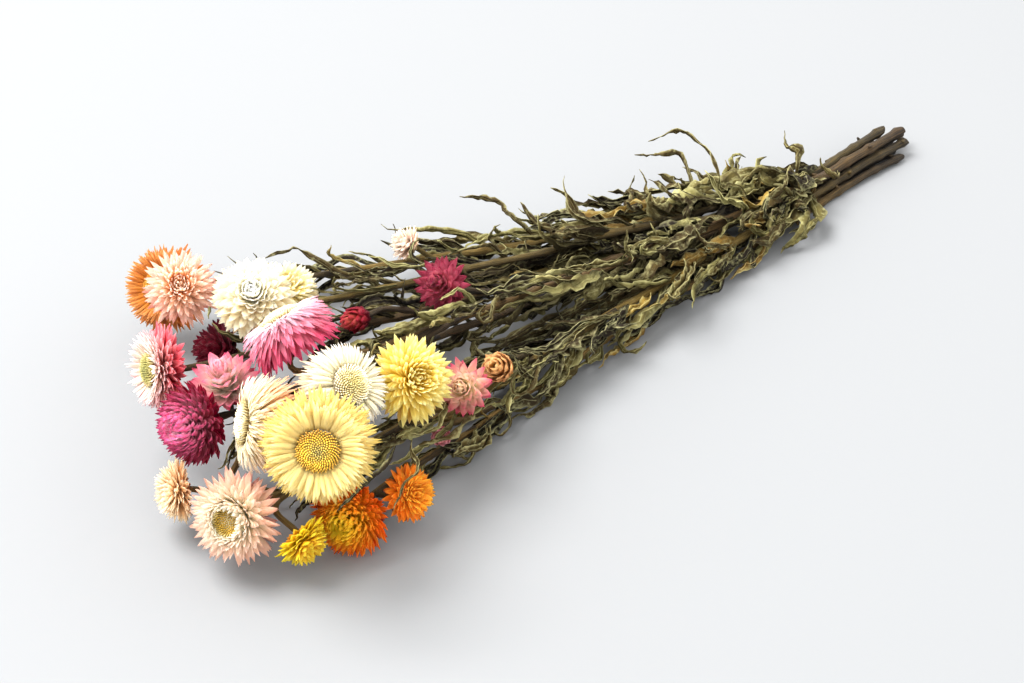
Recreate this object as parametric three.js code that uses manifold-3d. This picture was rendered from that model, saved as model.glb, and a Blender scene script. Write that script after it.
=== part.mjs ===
// A bunch of dried strawflowers lying on a flat surface: nine cut, leafy, branched stems and their blooms.
// Millimetres, +Z up. +X runs along the bunch from the blooms to the cut ends, and the surface is at z = 0.
// Every leafy stem is one solid, fused from its stalks and dried leaves. Every bloom is one solid, whose rings
// of papery bracts are raised from its head by a formula. An open bloom's disc of florets is a second solid.
import * as THREE from "three";
import { mergeVertices } from "three/addons/utils/BufferGeometryUtils.js";
import Module from "manifold-3d";

const wasm = await Module();
wasm.setup();

// ---- Driving dimensions ----
const MIDDLE = new THREE.Vector3(6, 16, 0); // where the bunch's middle lies among the places below
const GAP = 0.4; // between a stalk and the bloom it carries, and under a disc
const NECK_X = 180; // the narrowest place, where the stems lie packed together
const NECK_Y = -26;
const NECK_Z = 8; // the middle of the packed stems there
const HEADS_MIDDLE = [-170, 5, 50]; // where the bunch's middle line ends, among the blooms
const STEM_SPACING = 5.75; // between the centres of stems at the neck
const HELD = 24; // how far from the neck towards the cut ends the stems stay side by side
const END_SPREAD = 1.22; // how far the stems fan out again at their cut ends
const ROW_RISE = 0.87; // of that spacing, from one row of packed stems to the next
const STEM_RADIUS = 3.1; // at the cut end
const STALK_RADIUS = 1.5; // under a bloom
const FORK_RADIUS = 2.1; // the most that a stalk has where it forks off
const FLATTENED = 0.1; // how much of the lowest stems is flat against the surface
const ABOVE_SURFACE = 0.3; // how far a stem or a stalk keeps off the surface elsewhere
const APPROACH = 16; // how far a stalk runs straight up to its bloom
const STEM_SIDES = 6;
const STALK_SIDES = 4;
const STEM_STEP = 28; // between the rings of corners along a stem
const STALK_STEP = 26;
const ROUTE_STEP = 2; // between the points that a route is measured by

// ---- Dried leaves ----
const LEAF_CLEARANCE = 2.2; // kept between a leaf and everything that it isn't fused to
const OWN_CLEARANCE = 1.6; // kept between a leaf and its own stem's other leaves
const LEAF_STEPS = 4; // straight lengths in one leaf
const LEAF_TRIES = 24; // draws of one leaf, until it finds room
const LOWEST_LEAF = 0.9; // how near a leaf's middle comes to the surface
const STANDS_OFF = 1.4; // from a stem's side to a leaf's middle line, near its foot
const KEEL = [0.28, 0.7]; // how far a leaf's keel stands out: a share of its half width, and more at its foot
const STRAY = { steps: 6, measured: 8, roll: 0.8, twist: 1.3 }; // a leaf that stands out of the bunch
// Each pair runs from the cut end to the bloom. The leaves stop that far before the bloom.
const STEM_LEAVES = {
  count: 16, crowd: 1.4, from: 62, stops: 50, length: [66, 44], width: [11.5, 4.2], spread: [5, 22],
};
const STALK_LEAVES = {
  every: 55, crowd: 1, from: 20, stops: 34, length: [40, 30], width: [4.5, 3.5], spread: [4, 12],
};
// How a leaf's draws vary, and how much smaller and further round its stem it is drawn as its tries run out.
const VARIED = {
  length: [0.75, 1.25], width: [0.8, 1.2], spread: [1.2, 0.8], round: 2.2, turn: 1.8, wave: 0.6, twist: 2,
  shrinks: 0.5, roundMore: 0.4,
};

// ---- Blooms ----
// Where the middle of a bloom is, where it faces (degrees round +Z from +X, and up), its diameter, its form and
// how many bracts it has in a ring.
const BLOOMS = {
  apricot: { at: [-158, 107, 36], faces: [-172, 36], width: 46, form: "open", ring: 11 },
  peach: { at: [-170, 65, 69], faces: [-122, 54], width: 39, form: "full", ring: 11 },
  cream_tall: { at: [-151, 34, 73], faces: [-126, 60], width: 41, form: "full", ring: 12 },
  cream_far: { at: [-117, 52, 48], faces: [-74, 62], width: 34, form: "small", ring: 9 },
  blush: { at: [-207, 37, 56], faces: [166, 16], width: 42, form: "open", ring: 11 },
  crimson_low: { at: [-152, 75, 13.4], faces: [165, 25], width: 30, form: "cup", ring: 8 },
  rose_cup: { at: [-190, 4, 64], faces: [-170, 78], width: 32, form: "cup", ring: 10 },
  rose_swept: { at: [-160, -1, 83], faces: [95, 47], width: 41, form: "swept", ring: 12 },
  magenta: { at: [-220, -6, 58], faces: [-170, 24], width: 39, form: "dome", ring: 12 },
  cream_swept: { at: [-204, -33, 69], faces: [150, 16], width: 41, form: "swept", ring: 12 },
  ivory_swept: { at: [-163, -55, 81], faces: [-80, 46], width: 38, form: "swept", ring: 12 },
  lemon: { at: [-200, -80, 83], faces: [-130, 30], width: 51, form: "open", ring: 14 },
  yellow: { at: [-131, -61, 70], faces: [-95, 40], width: 42, form: "full", ring: 12 },
  rose_small: { at: [-107, -62, 51], faces: [-148, 42], width: 26, form: "cup", ring: 8 },
  crimson_small: { at: [-71, -4, 58], faces: [-158, 43], width: 27, form: "cup", ring: 8 },
  crimson_bud: { at: [-112, 9, 50], faces: [-170, 20], width: 12, form: "bud", ring: 5 },
  pale_bud: { at: [-42, 60, 32], faces: [150, 40], width: 19, form: "cup", ring: 7 },
  tan: { at: [-230, -5, 24], faces: [161, 9], width: 30, form: "small", ring: 9 },
  peach_large: { at: [-225, -44, 32], faces: [-155, 28], width: 46, form: "open", ring: 12 },
  yellow_low: { at: [-202, -69, 19], faces: [-90, -20], width: 27, form: "small", ring: 9 },
  orange: { at: [-182, -69, 19.5], faces: [-150, 18], width: 38, form: "dome", ring: 12 },
  orange_small: { at: [-150, -79, 25], faces: [-80, 30], width: 28, form: "small", ring: 9 },
  pink_bud: { at: [-115, -56, 22], faces: [-132, 30], width: 9, form: "bud", ring: 5 },
  gold_bud: { at: [-82, -58, 46], faces: [-154, 46], width: 14, form: "bud", ring: 5 },
};

// How a head is built, as shares of its radius and, for angles, degrees from the way that it faces.
// Each pair runs from the innermost ring of bracts to the outermost: how its bracts lean, their length, and how
// far they curl in over the head. The rings are rooted from the disc's edge to the base, that depth below it.
const FORMS = {
  open: { disc: 0.36, base: 0.28, depth: 0.34, lean: [58, 98], length: [0.44, 0.72], curl: [20, -8], rings: 3 },
  full: { disc: 0.18, base: 0.26, depth: 0.38, lean: [30, 96], length: [0.46, 0.75], curl: [60, -6], rings: 3 },
  small: { disc: 0.26, base: 0.28, depth: 0.36, lean: [48, 96], length: [0.5, 0.72], curl: [30, -6], rings: 2 },
  dome: { disc: 0.1, base: 0.3, depth: 0.5, lean: [26, 88], length: [0.5, 0.76], curl: [70, 34], rings: 3 },
  cup: { disc: 0.12, base: 0.2, depth: 0.62, lean: [10, 62], length: [0.85, 0.94], curl: [34, 10], rings: 2 },
  bud: { disc: 0.2, base: 0.6, depth: 1.0, lean: [5, 18], length: [1.6, 1.5], curl: [30, 40], rings: 2 },
  swept: { disc: 0.46, base: 0.34, depth: 0.3, lean: [92, 138], length: [0.52, 0.95], curl: [-40, -22], rings: 3 },
};
const OPEN_DISC = 0.3; // a form with a disc at least this wide shows its florets
const FLORETS = 10; // in each ring of a disc
const VALLEY = 0.78; // how far along a bract its neighbour parts from it
const FOLD = 0.05; // how much higher than its edges a bract's ridge lies, as a share of the head's radius
const UNDER = 0.14; // the head's own depth below its outermost bracts
const FOOT_RADIUS = 2.7; // of the flat face that sits on the stalk

// ---- Leafy stems ----
// A stem's place at the neck (across, row), how far its cut end reaches past the neck, and the blooms it carries.
// The bloom that a stem leads to ends the stem itself, past any places that it goes via. Each other bloom ends a
// stalk that forks off at that distance from the cut end, as a stray leaf does at its foot.
const STEMS = [
  { slot: [1.5, 0], reach: 60, leads: "crimson_low", forks: [["pale_bud", 190]] },
  { slot: [1, 1], reach: 50, leads: "apricot", forks: [["peach", 303]],
    strays: [
      { foot: 297, width: 4.5, through: [[-72, 68, 20], [-81, 80, 28], [-88, 88, 34], [-105, 91, 36]] },
      { foot: 212, width: 4, through: [[20, 44, 24], [17, 58, 30], [5, 70, 32]] },
      { foot: 105, width: 5, through: [[135, 9, 26], [134, 26, 34], [126, 32, 38], [110, 36, 36]] },
      { foot: 122, width: 4.5, through: [[128, 26, 22], [119, 34, 23], [113, 47, 20]] },
    ] },
  { slot: [0.5, 2], reach: 58, leads: "cream_tall", forks: [["cream_far", 278]] },
  { slot: [0.5, 0], reach: 70, leads: "blush", forks: [["tan", 300]] },
  { slot: [0, 1], reach: 71, leads: "magenta",
    forks: [["rose_cup", 330], ["crimson_small", 200], ["crimson_bud", 250]] },
  { slot: [-0.5, 2], reach: 66, leads: "rose_swept", forks: [["cream_swept", 310], ["ivory_swept", 320]] },
  { slot: [-0.5, 0], reach: 64, leads: "peach_large", forks: [["yellow_low", 340]] },
  { slot: [-1, 1], reach: 68, leads: "lemon", via: [[-140, -59, 38], [-172, -62, 50]],
    forks: [["yellow", 270], ["rose_small", 264], ["gold_bud", 240]],
    strays: [
      { foot: 384, width: 3, through: [[-147, -74, 44], [-151, -83, 44], [-161, -86, 43], [-172, -92, 38]] },
      { foot: 394, width: 3, through: [[-162, -76, 48], [-173, -79, 48], [-187, -80, 46], [-193, -80, 43]] },
    ] },
  { slot: [-1.5, 0], reach: 60, leads: "orange", forks: [["orange_small", 330], ["pink_bud", 270]] },
];

// ---- Repeatable draws, and small helpers ----
const SEEDS = { stemLeaves: 16, heads: 40, stalkLeaves: 200, routes: 900 };

// A linear congruential sequence of numbers from 0 to 1.
function draws(seed) {
  let state = (Math.imul(seed + 1, 2654435761) ^ 0x5bd1e995) >>> 0;
  const next = () => {
    state = (Math.imul(state, 1664525) + 1013904223) >>> 0;
    return state / 2 ** 32;
  };
  next();
  return next;
}

const mix = (a, b, t) => a + (b - a) * t;
const radians = (degrees) => (degrees * Math.PI) / 180;
const vector = (p) => new THREE.Vector3(...p);

// The unit vector at an angle round +Z from +X and an angle up.
function direction([round, up]) {
  const level = Math.cos(radians(up));
  const [x, y] = [Math.cos(radians(round)), Math.sin(radians(round))];
  return new THREE.Vector3(level * x, level * y, Math.sin(radians(up)));
}

// Two unit vectors square to a direction: one level, and one as upright as it can be.
function across(along) {
  const side = new THREE.Vector3(0, 0, 1).cross(along).normalize();
  return [side, along.clone().cross(side)];
}

// A closed three.js geometry as a solid, without the triangles that its seams and poles leave flat.
function solid(geometry) {
  geometry.deleteAttribute("normal");
  geometry.deleteAttribute("uv");
  const merged = mergeVertices(geometry, 1e-4);
  const corners = merged.index.array;
  const kept = [];
  for (let i = 0; i < corners.length; i += 3) {
    const [a, b, c] = corners.subarray(i, i + 3);
    if (a !== b && b !== c && c !== a) kept.push(a, b, c);
  }
  const vertProperties = merged.attributes.position.array;
  return new wasm.Manifold(new wasm.Mesh({ numProp: 3, vertProperties, triVerts: new Uint32Array(kept) }));
}

// Moves every vertex of a geometry.
function reshape(geometry, place) {
  const position = geometry.attributes.position;
  const p = new THREE.Vector3();
  for (let i = 0; i < position.count; i++) {
    p.fromBufferAttribute(position, i);
    place(p, i);
    position.setXYZ(i, p.x, p.y, p.z);
  }
  return geometry;
}

// ---- Blooms ----
// A ring's root and its bracts, for t from 0, innermost, to 1, outermost, on a head of radius R.
function ringOf(form, t, R) {
  return {
    radius: R * mix(form.disc, form.base, t),
    height: -R * form.depth * t,
    lean: radians(mix(...form.lean, t)),
    length: R * mix(...form.length, t),
    curl: radians(mix(...form.curl, t)),
  };
}

// How far out and up a bract of a ring has come at a share v of its length.
function alongBract(ring, v, lean = ring.lean, length = ring.length) {
  const from = lean + ring.curl / 2;
  const now = from - ring.curl * v;
  if (Math.abs(ring.curl) < 1e-3) {
    return [ring.radius + length * v * Math.sin(lean), ring.height + length * v * Math.cos(lean)];
  }
  return [
    ring.radius + (length * (Math.cos(now) - Math.cos(from))) / ring.curl,
    ring.height + (length * (Math.sin(from) - Math.sin(now))) / ring.curl,
  ];
}

const footDepth = (bloom) => (bloom.width / 2) * (FORMS[bloom.form].depth + UNDER) + 1;

// The profile of one column of the head, from the disc's middle to the foot. Even rings have their tips in even
// columns, and their edges in odd ones.
function columnOf(bloom, column, random) {
  const form = FORMS[bloom.form];
  const R = bloom.width / 2;
  const rows = [[0, 0], [R * form.disc, 0]];
  for (let k = 0; k < form.rings; k++) {
    const ring = ringOf(form, k / (form.rings - 1), R);
    const isTip = (column + k) % 2 === 0;
    const lean = ring.lean + (isTip ? radians(8 * random() - 4) : 0);
    const length = ring.length * (isTip ? mix(0.93, 1.05, random()) : 1);
    const end = alongBract(ring, isTip ? 1 : VALLEY, lean, length);
    const isLast = k === form.rings - 1;
    if (isLast) {
      const [r, h] = rows[rows.length - 1];
      const ridge = isTip ? R * FOLD : 0;
      const foldRadius = mix(r, end[0], 0.5) - ridge * Math.cos(ring.lean);
      const foldHeight = mix(h, end[1], 0.5) + ridge * Math.sin(ring.lean);
      rows.push([foldRadius, foldHeight]);
    }
    rows.push(end);
    const groove = ringOf(form, (k + 0.5) / (form.rings - 1), R);
    rows.push([groove.radius, groove.height]);
  }
  rows.push([FOOT_RADIUS, -footDepth(bloom)], [0, -footDepth(bloom)]);
  return rows;
}

// Turns a shape made round +Z so that it faces as the bloom does, and puts it in its place.
function settle(geometry, bloom) {
  const turn = new THREE.Quaternion().setFromUnitVectors(new THREE.Vector3(0, 0, 1), direction(bloom.faces));
  return geometry.applyQuaternion(turn).translate(...bloom.at);
}

function headOf(bloom, seed) {
  const columns = 2 * bloom.ring;
  const random = draws(seed);
  const profiles = Array.from({ length: columns }, (_, column) => columnOf(bloom, column, random));
  const rows = profiles[0].length;
  const outline = profiles[0].map(([r, h]) => new THREE.Vector2(r, h)).reverse();
  const head = reshape(new THREE.LatheGeometry(outline, columns), (p, i) => {
    const column = Math.floor(i / rows) % columns;
    const [r, h] = profiles[column][rows - 1 - (i % rows)];
    const angle = (2 * Math.PI * column) / columns;
    p.set(r * Math.cos(angle), r * Math.sin(angle), h);
  });
  return solid(settle(head, bloom));
}

// The florets of an open head: a low cushion with rings of alternate bumps.
function discOf(bloom) {
  const radius = (bloom.width / 2) * FORMS[bloom.form].disc - GAP;
  const swell = 0.34 * radius;
  const rise = [[0, 1], [0.4, 0.86], [0.74, 0.8], [1, 0.35], [0.96, 0], [0, 0]];
  const outline = rise.map(([r, h]) => new THREE.Vector2(r * radius, h * swell)).reverse();
  const disc = reshape(new THREE.LatheGeometry(outline, FLORETS), (p, i) => {
    const column = Math.floor(i / rise.length) % FLORETS;
    const row = rise.length - 1 - (i % rise.length);
    const [r, h] = rise[row];
    const angle = (2 * Math.PI * (column + (row % 2) / 2)) / FLORETS;
    const isBumpy = row === 1 || row === 2;
    const bump = isBumpy ? 0.12 * swell * ((column + row) % 2) : 0;
    p.set(r * radius * Math.cos(angle), r * radius * Math.sin(angle), h * swell + bump + GAP);
  });
  return solid(settle(disc, bloom));
}

// The middle of the flat face under a head.
const footOf = (bloom) => vector(bloom.at).addScaledVector(direction(bloom.faces), -footDepth(bloom));

// ---- Stems and stalks ----
const DIVISIONS = 24; // of a route between two of its places

// A route that gives its point and direction at a distance along it, and runs on straight past its end.
function routeThrough(points) {
  const curve = new THREE.CatmullRomCurve3(points, false, "catmullrom", 0.5);
  const dense = curve.getPoints(DIVISIONS * (points.length - 1));
  const last = dense.length - 1;
  const lengths = [0];
  for (let i = 1; i <= last; i++) lengths.push(lengths[i - 1] + dense[i].distanceTo(dense[i - 1]));
  const length = lengths[last];
  const point = (s) => {
    if (s >= length) {
      const on = dense[last].clone().sub(dense[last - 1]).normalize();
      return dense[last].clone().addScaledVector(on, s - length);
    }
    let i = 1;
    while (lengths[i] < s) i++;
    const share = (s - lengths[i - 1]) / (lengths[i] - lengths[i - 1]);
    return dense[i - 1].clone().lerp(dense[i], share);
  };
  const along = (s) => {
    const at = Math.min(s, length);
    return point(at + 1).sub(point(Math.max(at - 1, 0))).normalize();
  };
  return { length, point, along };
}

// Where a stem's middle lies, across the bunch and up, where the stems are spread that much.
const slotPlace = ([slotsAcross, row], spread) => [
  NECK_Y + slotsAcross * STEM_SPACING * spread,
  STEM_RADIUS - FLATTENED + row * STEM_SPACING * ROW_RISE * (1 + (spread - 1) / 2),
];

// The last two places of a stalk: where it straightens, and where it stops under its bloom.
function approachTo(bloom) {
  const facing = direction(bloom.faces);
  const stop = footOf(bloom).addScaledVector(facing, -GAP);
  const turn = stop.clone().addScaledVector(facing, -APPROACH);
  turn.z = Math.max(turn.z, STALK_RADIUS + ABOVE_SURFACE);
  return [turn, stop];
}

// Places on the way from the neck to the heads, as shares of it, how late the stems open out, and their sway.
const FAN = { at: [0.22, 0.45, 0.7], shortAt: [0.3, 0.62], opens: 1.25, swayY: 3, swayZ: 2 };

// A stem runs from its cut end through the neck, and then fans out to the bloom that it leads to.
function stemRoute(stem, seed) {
  const random = draws(SEEDS.routes + seed);
  const end = new THREE.Vector3(NECK_X + stem.reach, ...slotPlace(stem.slot, END_SPREAD));
  const held = new THREE.Vector3(NECK_X + HELD, ...slotPlace(stem.slot, mix(1, END_SPREAD, HELD / stem.reach)));
  const neck = new THREE.Vector3(NECK_X, ...slotPlace(stem.slot, 1));
  const [turn, stop] = approachTo(BLOOMS[stem.leads]);
  const via = (stem.via ?? []).map(vector);
  const heads = via[0] ?? turn;
  const fanned = (via.length ? FAN.shortAt : FAN.at).map((u) => {
    const opened = u ** FAN.opens;
    const y = mix(neck.y, heads.y, opened) + FAN.swayY * (random() - 0.5);
    const z = mix(neck.z, heads.z, opened) + FAN.swayZ * (random() - 0.5);
    return new THREE.Vector3(mix(neck.x, heads.x, u), y, Math.max(z, STEM_RADIUS + ABOVE_SURFACE));
  });
  return routeThrough([end, held, neck, ...fanned, ...via, turn, stop]);
}

// How far a stalk follows its stem, and how much of the way to its bloom it has come there.
const LEAVING = { after: 14, share: 0.06 };
const HALFWAY = { after: 0.45, share: 0.5 }; // the same half way there, as a share of the distance to its bloom

// A stalk leaves its stem at a fork, follows it a little and then bends away to its own bloom.
function stalkRoute(stem, name, fork) {
  const [turn, stop] = approachTo(BLOOMS[name]);
  const from = stem.point(fork);
  const leaving = stem.point(fork + LEAVING.after).lerp(turn, LEAVING.share);
  const halfway = stem.point(fork + HALFWAY.after * from.distanceTo(turn)).lerp(turn, HALFWAY.share);
  return routeThrough([from, leaving, halfway, turn, stop]);
}

// The two cross directions at even places along a route, carried along it without turning.
function framesAlong(route, steps) {
  const [side] = across(route.along(0));
  return Array.from({ length: steps + 1 }, (_, i) => {
    const along = route.along((i / steps) * route.length);
    side.addScaledVector(along, -side.dot(along)).normalize();
    return [side.clone(), along.clone().cross(side)];
  });
}

// A tapering round stalk along a route, with closed ends.
function stalkSolid(route, fromRadius, toRadius, sides, step) {
  const steps = Math.max(3, Math.round(route.length / step));
  const frames = framesAlong(route, steps);
  const rod = new THREE.CylinderGeometry(1, 1, 1, sides, steps);
  return solid(reshape(rod, (p) => {
    const share = p.y + 0.5;
    const [side, up] = frames[Math.round(share * steps)];
    const radius = mix(fromRadius, toRadius, share);
    const middle = route.point(share * route.length);
    p.copy(middle.addScaledVector(side, p.x * radius).addScaledVector(up, -p.z * radius));
  }));
}

// ---- Leaves ----
// A leaf's middle line: it leaves its stem at a foot and follows it, standing off further and turning round it.
function leafLine(route, leaf) {
  const points = [];
  for (let i = 0; i <= LEAF_STEPS; i++) {
    const t = i / LEAF_STEPS;
    const s = leaf.foot + 0.92 * leaf.length * t;
    const [side, up] = across(route.along(s));
    const round = leaf.round + leaf.turn * t + leaf.wave * Math.sin(5 * t + leaf.round);
    const free = leaf.standsOff + leaf.spread * t * (1 + 0.3 * Math.sin(6 * t + leaf.turn));
    const off = mix(0.1 * leaf.standsOff, free, Math.min(1, LEAF_STEPS * t));
    const p = route.point(s);
    p.addScaledVector(side, off * Math.cos(round)).addScaledVector(up, off * Math.sin(round));
    p.z = Math.max(p.z, LOWEST_LEAF);
    points.push(p);
  }
  return points;
}

// The half width of a lance-shaped leaf at a share t of its length.
const leafHalfWidth = (leaf, t) => (leaf.width / 2) * Math.min(1, 0.2 + 3.2 * t) * (1 - t ** 3);

// Where a leaf's left edge, right edge and keel run. The blade is carried along its middle line without turning,
// but for its own twist from foot to tip.
function leafSections(points, leaf) {
  const steps = points.length - 1;
  const alongAt = (i) => points[Math.min(i + 1, steps)].clone().sub(points[Math.max(i - 1, 0)]).normalize();
  const [side, up] = across(alongAt(0));
  const flat = side.multiplyScalar(Math.cos(leaf.roll)).addScaledVector(up, Math.sin(leaf.roll));
  return points.map((middle, i) => {
    const along = alongAt(i);
    flat.addScaledVector(along, -flat.dot(along)).normalize();
    if (i > 0) flat.applyAxisAngle(along, leaf.twist / steps);
    const half = leafHalfWidth(leaf, i / steps);
    const deep = KEEL[0] * half + KEEL[1] * (1 - i / steps);
    return {
      middle,
      along,
      left: middle.clone().addScaledVector(flat, half),
      right: middle.clone().addScaledVector(flat, -half),
      keel: middle.clone().addScaledVector(along.clone().cross(flat), -deep),
    };
  });
}

const CORNERS = ["left", "right", "keel"];

// True if each section of a leaf lies wholly ahead of the one before it, so that the leaf can't cross itself.
function unfolds(sections) {
  return sections.slice(1).every((section, i) => {
    const before = sections[i];
    const isAhead = (corner) => section[corner].clone().sub(before.middle).dot(before.along) > 0;
    const isBehind = (corner) => before[corner].clone().sub(section.middle).dot(section.along) < 0;
    return CORNERS.every((corner) => isAhead(corner) && isBehind(corner));
  });
}

function leafSolid(sections) {
  const steps = sections.length - 1;
  const blade = new THREE.ConeGeometry(1, 1, 3, steps);
  return solid(reshape(blade, (p) => {
    const section = sections[Math.round((p.y + 0.5) * steps)];
    const onAxis = Math.hypot(p.x, p.z) < 1e-6;
    if (onAxis) {
      p.copy(section.left).add(section.right).add(section.keel).divideScalar(3);
    } else {
      const corner = Math.round((Math.atan2(p.x, p.z) / (2 * Math.PI)) * 3 + 3) % 3;
      p.copy(section[CORNERS[corner]]);
    }
  }));
}

// ---- Room: what is already taken, so that no leaf crosses another solid ----
class Room {
  constructor(cell) {
    this.cell = cell;
    this.taken = new Map();
  }
  keyOf(i, j, k) {
    return [i, j, k].join();
  }
  cellOf(p) {
    return [p.x, p.y, p.z].map((x) => Math.floor(x / this.cell));
  }
  add(points, owner) {
    for (const p of points) {
      const key = this.keyOf(...this.cellOf(p));
      if (!this.taken.has(key)) this.taken.set(key, []);
      this.taken.get(key).push([p, owner]);
    }
  }
  near(p) {
    const [i, j, k] = this.cellOf(p);
    const found = [];
    for (let a = i - 1; a <= i + 1; a++) {
      for (let b = j - 1; b <= j + 1; b++) {
        for (let c = k - 1; c <= k + 1; c++) found.push(...(this.taken.get(this.keyOf(a, b, c)) ?? []));
      }
    }
    return found;
  }
  // True if every point keeps a distance from all that the others have taken, and another from its owner's own.
  isClear(points, owner, fromOthers, fromOwn) {
    const isFree = (p) => ([q, other]) => p.distanceTo(q) >= (other === owner ? fromOwn : fromOthers);
    return points.every((p) => this.near(p).every(isFree(p)));
  }
}

// Points all over a leaf's three faces, close enough together that nothing slips between them.
function leafPoints(sections, perLength) {
  const points = [sections[sections.length - 1].left];
  for (let i = 0; i + 1 < sections.length; i++) {
    for (let n = 0; n < perLength; n++) {
      const share = n / perLength;
      const [left, right, keel] = CORNERS.map((corner) =>
        sections[i][corner].clone().lerp(sections[i + 1][corner], share));
      points.push(left, right, keel, left.clone().lerp(right, 0.5));
    }
  }
  return points;
}

function stalkPoints(route, fromRadius, toRadius) {
  const points = [];
  for (let s = 0; s <= route.length; s += ROUTE_STEP) {
    const [side, up] = across(route.along(s));
    const radius = mix(fromRadius, toRadius, s / route.length);
    for (let a = 0; a < 6; a++) {
      const round = (a * Math.PI) / 3;
      const out = side.clone().multiplyScalar(Math.cos(round)).addScaledVector(up, Math.sin(round));
      points.push(route.point(s).addScaledVector(out, radius));
    }
  }
  return points;
}

// Points through the whole of a head, its bracts included.
function headPoints(bloom) {
  const form = FORMS[bloom.form];
  const R = bloom.width / 2;
  const facing = direction(bloom.faces);
  const [side, up] = across(facing);
  const points = [];
  for (let k = 0; k <= 4; k++) {
    const ring = ringOf(form, k / 4, R);
    for (let v = 0; v <= 1.001; v += 2 / Math.max(ring.length, 4)) {
      const [r, h] = alongBract(ring, Math.min(v, 1));
      const count = Math.max(6, Math.ceil((2 * Math.PI * Math.abs(r)) / 2));
      for (let a = 0; a < count; a++) {
        const round = (2 * Math.PI * a) / count;
        points.push(vector(bloom.at).addScaledVector(facing, h)
          .addScaledVector(side, r * Math.cos(round)).addScaledVector(up, r * Math.sin(round)));
      }
    }
  }
  return points;
}

// ---- Growing the leaves of one stem ----
// Which way a place on a stem faces, as an angle round the stem: outwards from the middle line of the bunch.
function outwardAt(route, s) {
  const p = route.point(s);
  const share = (NECK_X - p.x) / (NECK_X - HEADS_MIDDLE[0]);
  const y = p.y - mix(NECK_Y, HEADS_MIDDLE[1], share);
  const z = p.z - mix(NECK_Z, HEADS_MIDDLE[2], share);
  const out = new THREE.Vector3(0, y, z);
  const [side, up] = across(route.along(s));
  return Math.atan2(out.dot(up), out.dot(side));
}

// A leaf's sizes and turns, drawn afresh for each try: broad and long towards the cut end, narrow towards the
// bloom. One that finds no room is drawn again, smaller and further round its stem.
function drawLeaf(route, radiusAt, plan, n, tries, seed) {
  const random = draws(seed * 977 + n * 31 + tries);
  const eager = 1 - VARIED.shrinks * (tries / LEAF_TRIES);
  const foot = mix(plan.from, route.length - plan.stops, ((n + 0.6 * random()) / plan.count) ** plan.crowd);
  const share = foot / route.length;
  return {
    foot,
    standsOff: radiusAt(foot) + STANDS_OFF,
    length: mix(...plan.length, share) * mix(...VARIED.length, random()) * eager,
    width: mix(...plan.width, share) * mix(...VARIED.width, random()) * mix(1, eager, 0.6),
    spread: mix(...plan.spread, random() ** 1.5) * mix(...VARIED.spread, share),
    round: outwardAt(route, foot) + (VARIED.round + VARIED.roundMore * tries) * (random() - 0.5),
    turn: VARIED.turn * (random() - 0.5),
    wave: VARIED.wave * (random() - 0.5),
    roll: 2 * Math.PI * random(),
    twist: VARIED.twist * (random() - 0.5),
  };
}

// A stray leaf runs from its stem through places of its own.
function straySections(route, { foot, width, through }) {
  const places = [route.point(foot), ...through.map(vector)];
  const line = new THREE.CatmullRomCurve3(places, false, "catmullrom", 0.5);
  return leafSections(line.getPoints(STRAY.steps), { width, ...STRAY });
}

function growLeaves(route, radiusAt, owner, room, plan, seed) {
  const leaves = [];
  for (let n = 0; n < plan.count; n++) {
    for (let tries = 0; tries < LEAF_TRIES; tries++) {
      const leaf = drawLeaf(route, radiusAt, plan, n, tries, seed);
      const sections = leafSections(leafLine(route, leaf), leaf);
      if (!unfolds(sections)) continue;
      const perStep = Math.ceil(leaf.length / LEAF_STEPS / LEAF_CLEARANCE);
      const points = leafPoints(sections, perStep);
      const low = points.some((p) => p.z < 0.1);
      if (low || !room.isClear(points, owner, LEAF_CLEARANCE, 0)) continue;
      const free = leafPoints(sections.slice(1), perStep);
      if (!room.isClear(free, owner, 0, OWN_CLEARANCE)) continue;
      leaves.push(leafSolid(sections));
      room.add(points, owner);
      break;
    }
  }
  return leaves;
}

// ---- The bunch ----
const bunch = new THREE.Group();
const room = new Room(LEAF_CLEARANCE * 1.05);

function show(name, made, finish) {
  const trimmed = made.trimByPlane([0, 0, 1], 0);
  const { vertProperties, triVerts } = trimmed.getMesh();
  const geometry = new THREE.BufferGeometry()
    .setAttribute("position", new THREE.BufferAttribute(vertProperties, 3))
    .setIndex(new THREE.BufferAttribute(triVerts, 1));
  geometry.translate(-MIDDLE.x, -MIDDLE.y, -MIDDLE.z);
  geometry.computeVertexNormals();
  const mesh = new THREE.Mesh(geometry, finish);
  mesh.name = name;
  bunch.add(mesh);
}

const paper = (color) => new THREE.MeshStandardMaterial({ color, roughness: 0.55, metalness: 0 });
const FINISHES = {
  foliage: new THREE.MeshStandardMaterial({ color: 0x6b6a48, roughness: 0.85, metalness: 0 }),
  florets: new THREE.MeshStandardMaterial({ color: 0xb9a347, roughness: 0.9, metalness: 0 }),
  apricot: paper(0xeebb84),
  peach: paper(0xf0b79c),
  cream_tall: paper(0xf6efcf),
  cream_far: paper(0xf6efcf),
  blush: paper(0xf0b9bb),
  crimson_low: paper(0x8c1436),
  rose_cup: paper(0xe98aa0),
  rose_swept: paper(0xe27da4),
  magenta: paper(0xb32464),
  cream_swept: paper(0xf0dfc0),
  ivory_swept: paper(0xf4ead2),
  lemon: paper(0xf4e88f),
  yellow: paper(0xf2d84e),
  rose_small: paper(0xd9657f),
  crimson_small: paper(0x9c1443),
  crimson_bud: paper(0x8c1436),
  pale_bud: paper(0xf1dcc4),
  tan: paper(0xf0cfa6),
  peach_large: paper(0xf2c0a0),
  yellow_low: paper(0xf0cf3a),
  orange: paper(0xe8781f),
  orange_small: paper(0xe8862a),
  pink_bud: paper(0xd9909a),
  gold_bud: paper(0xd8a04c),
};

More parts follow.
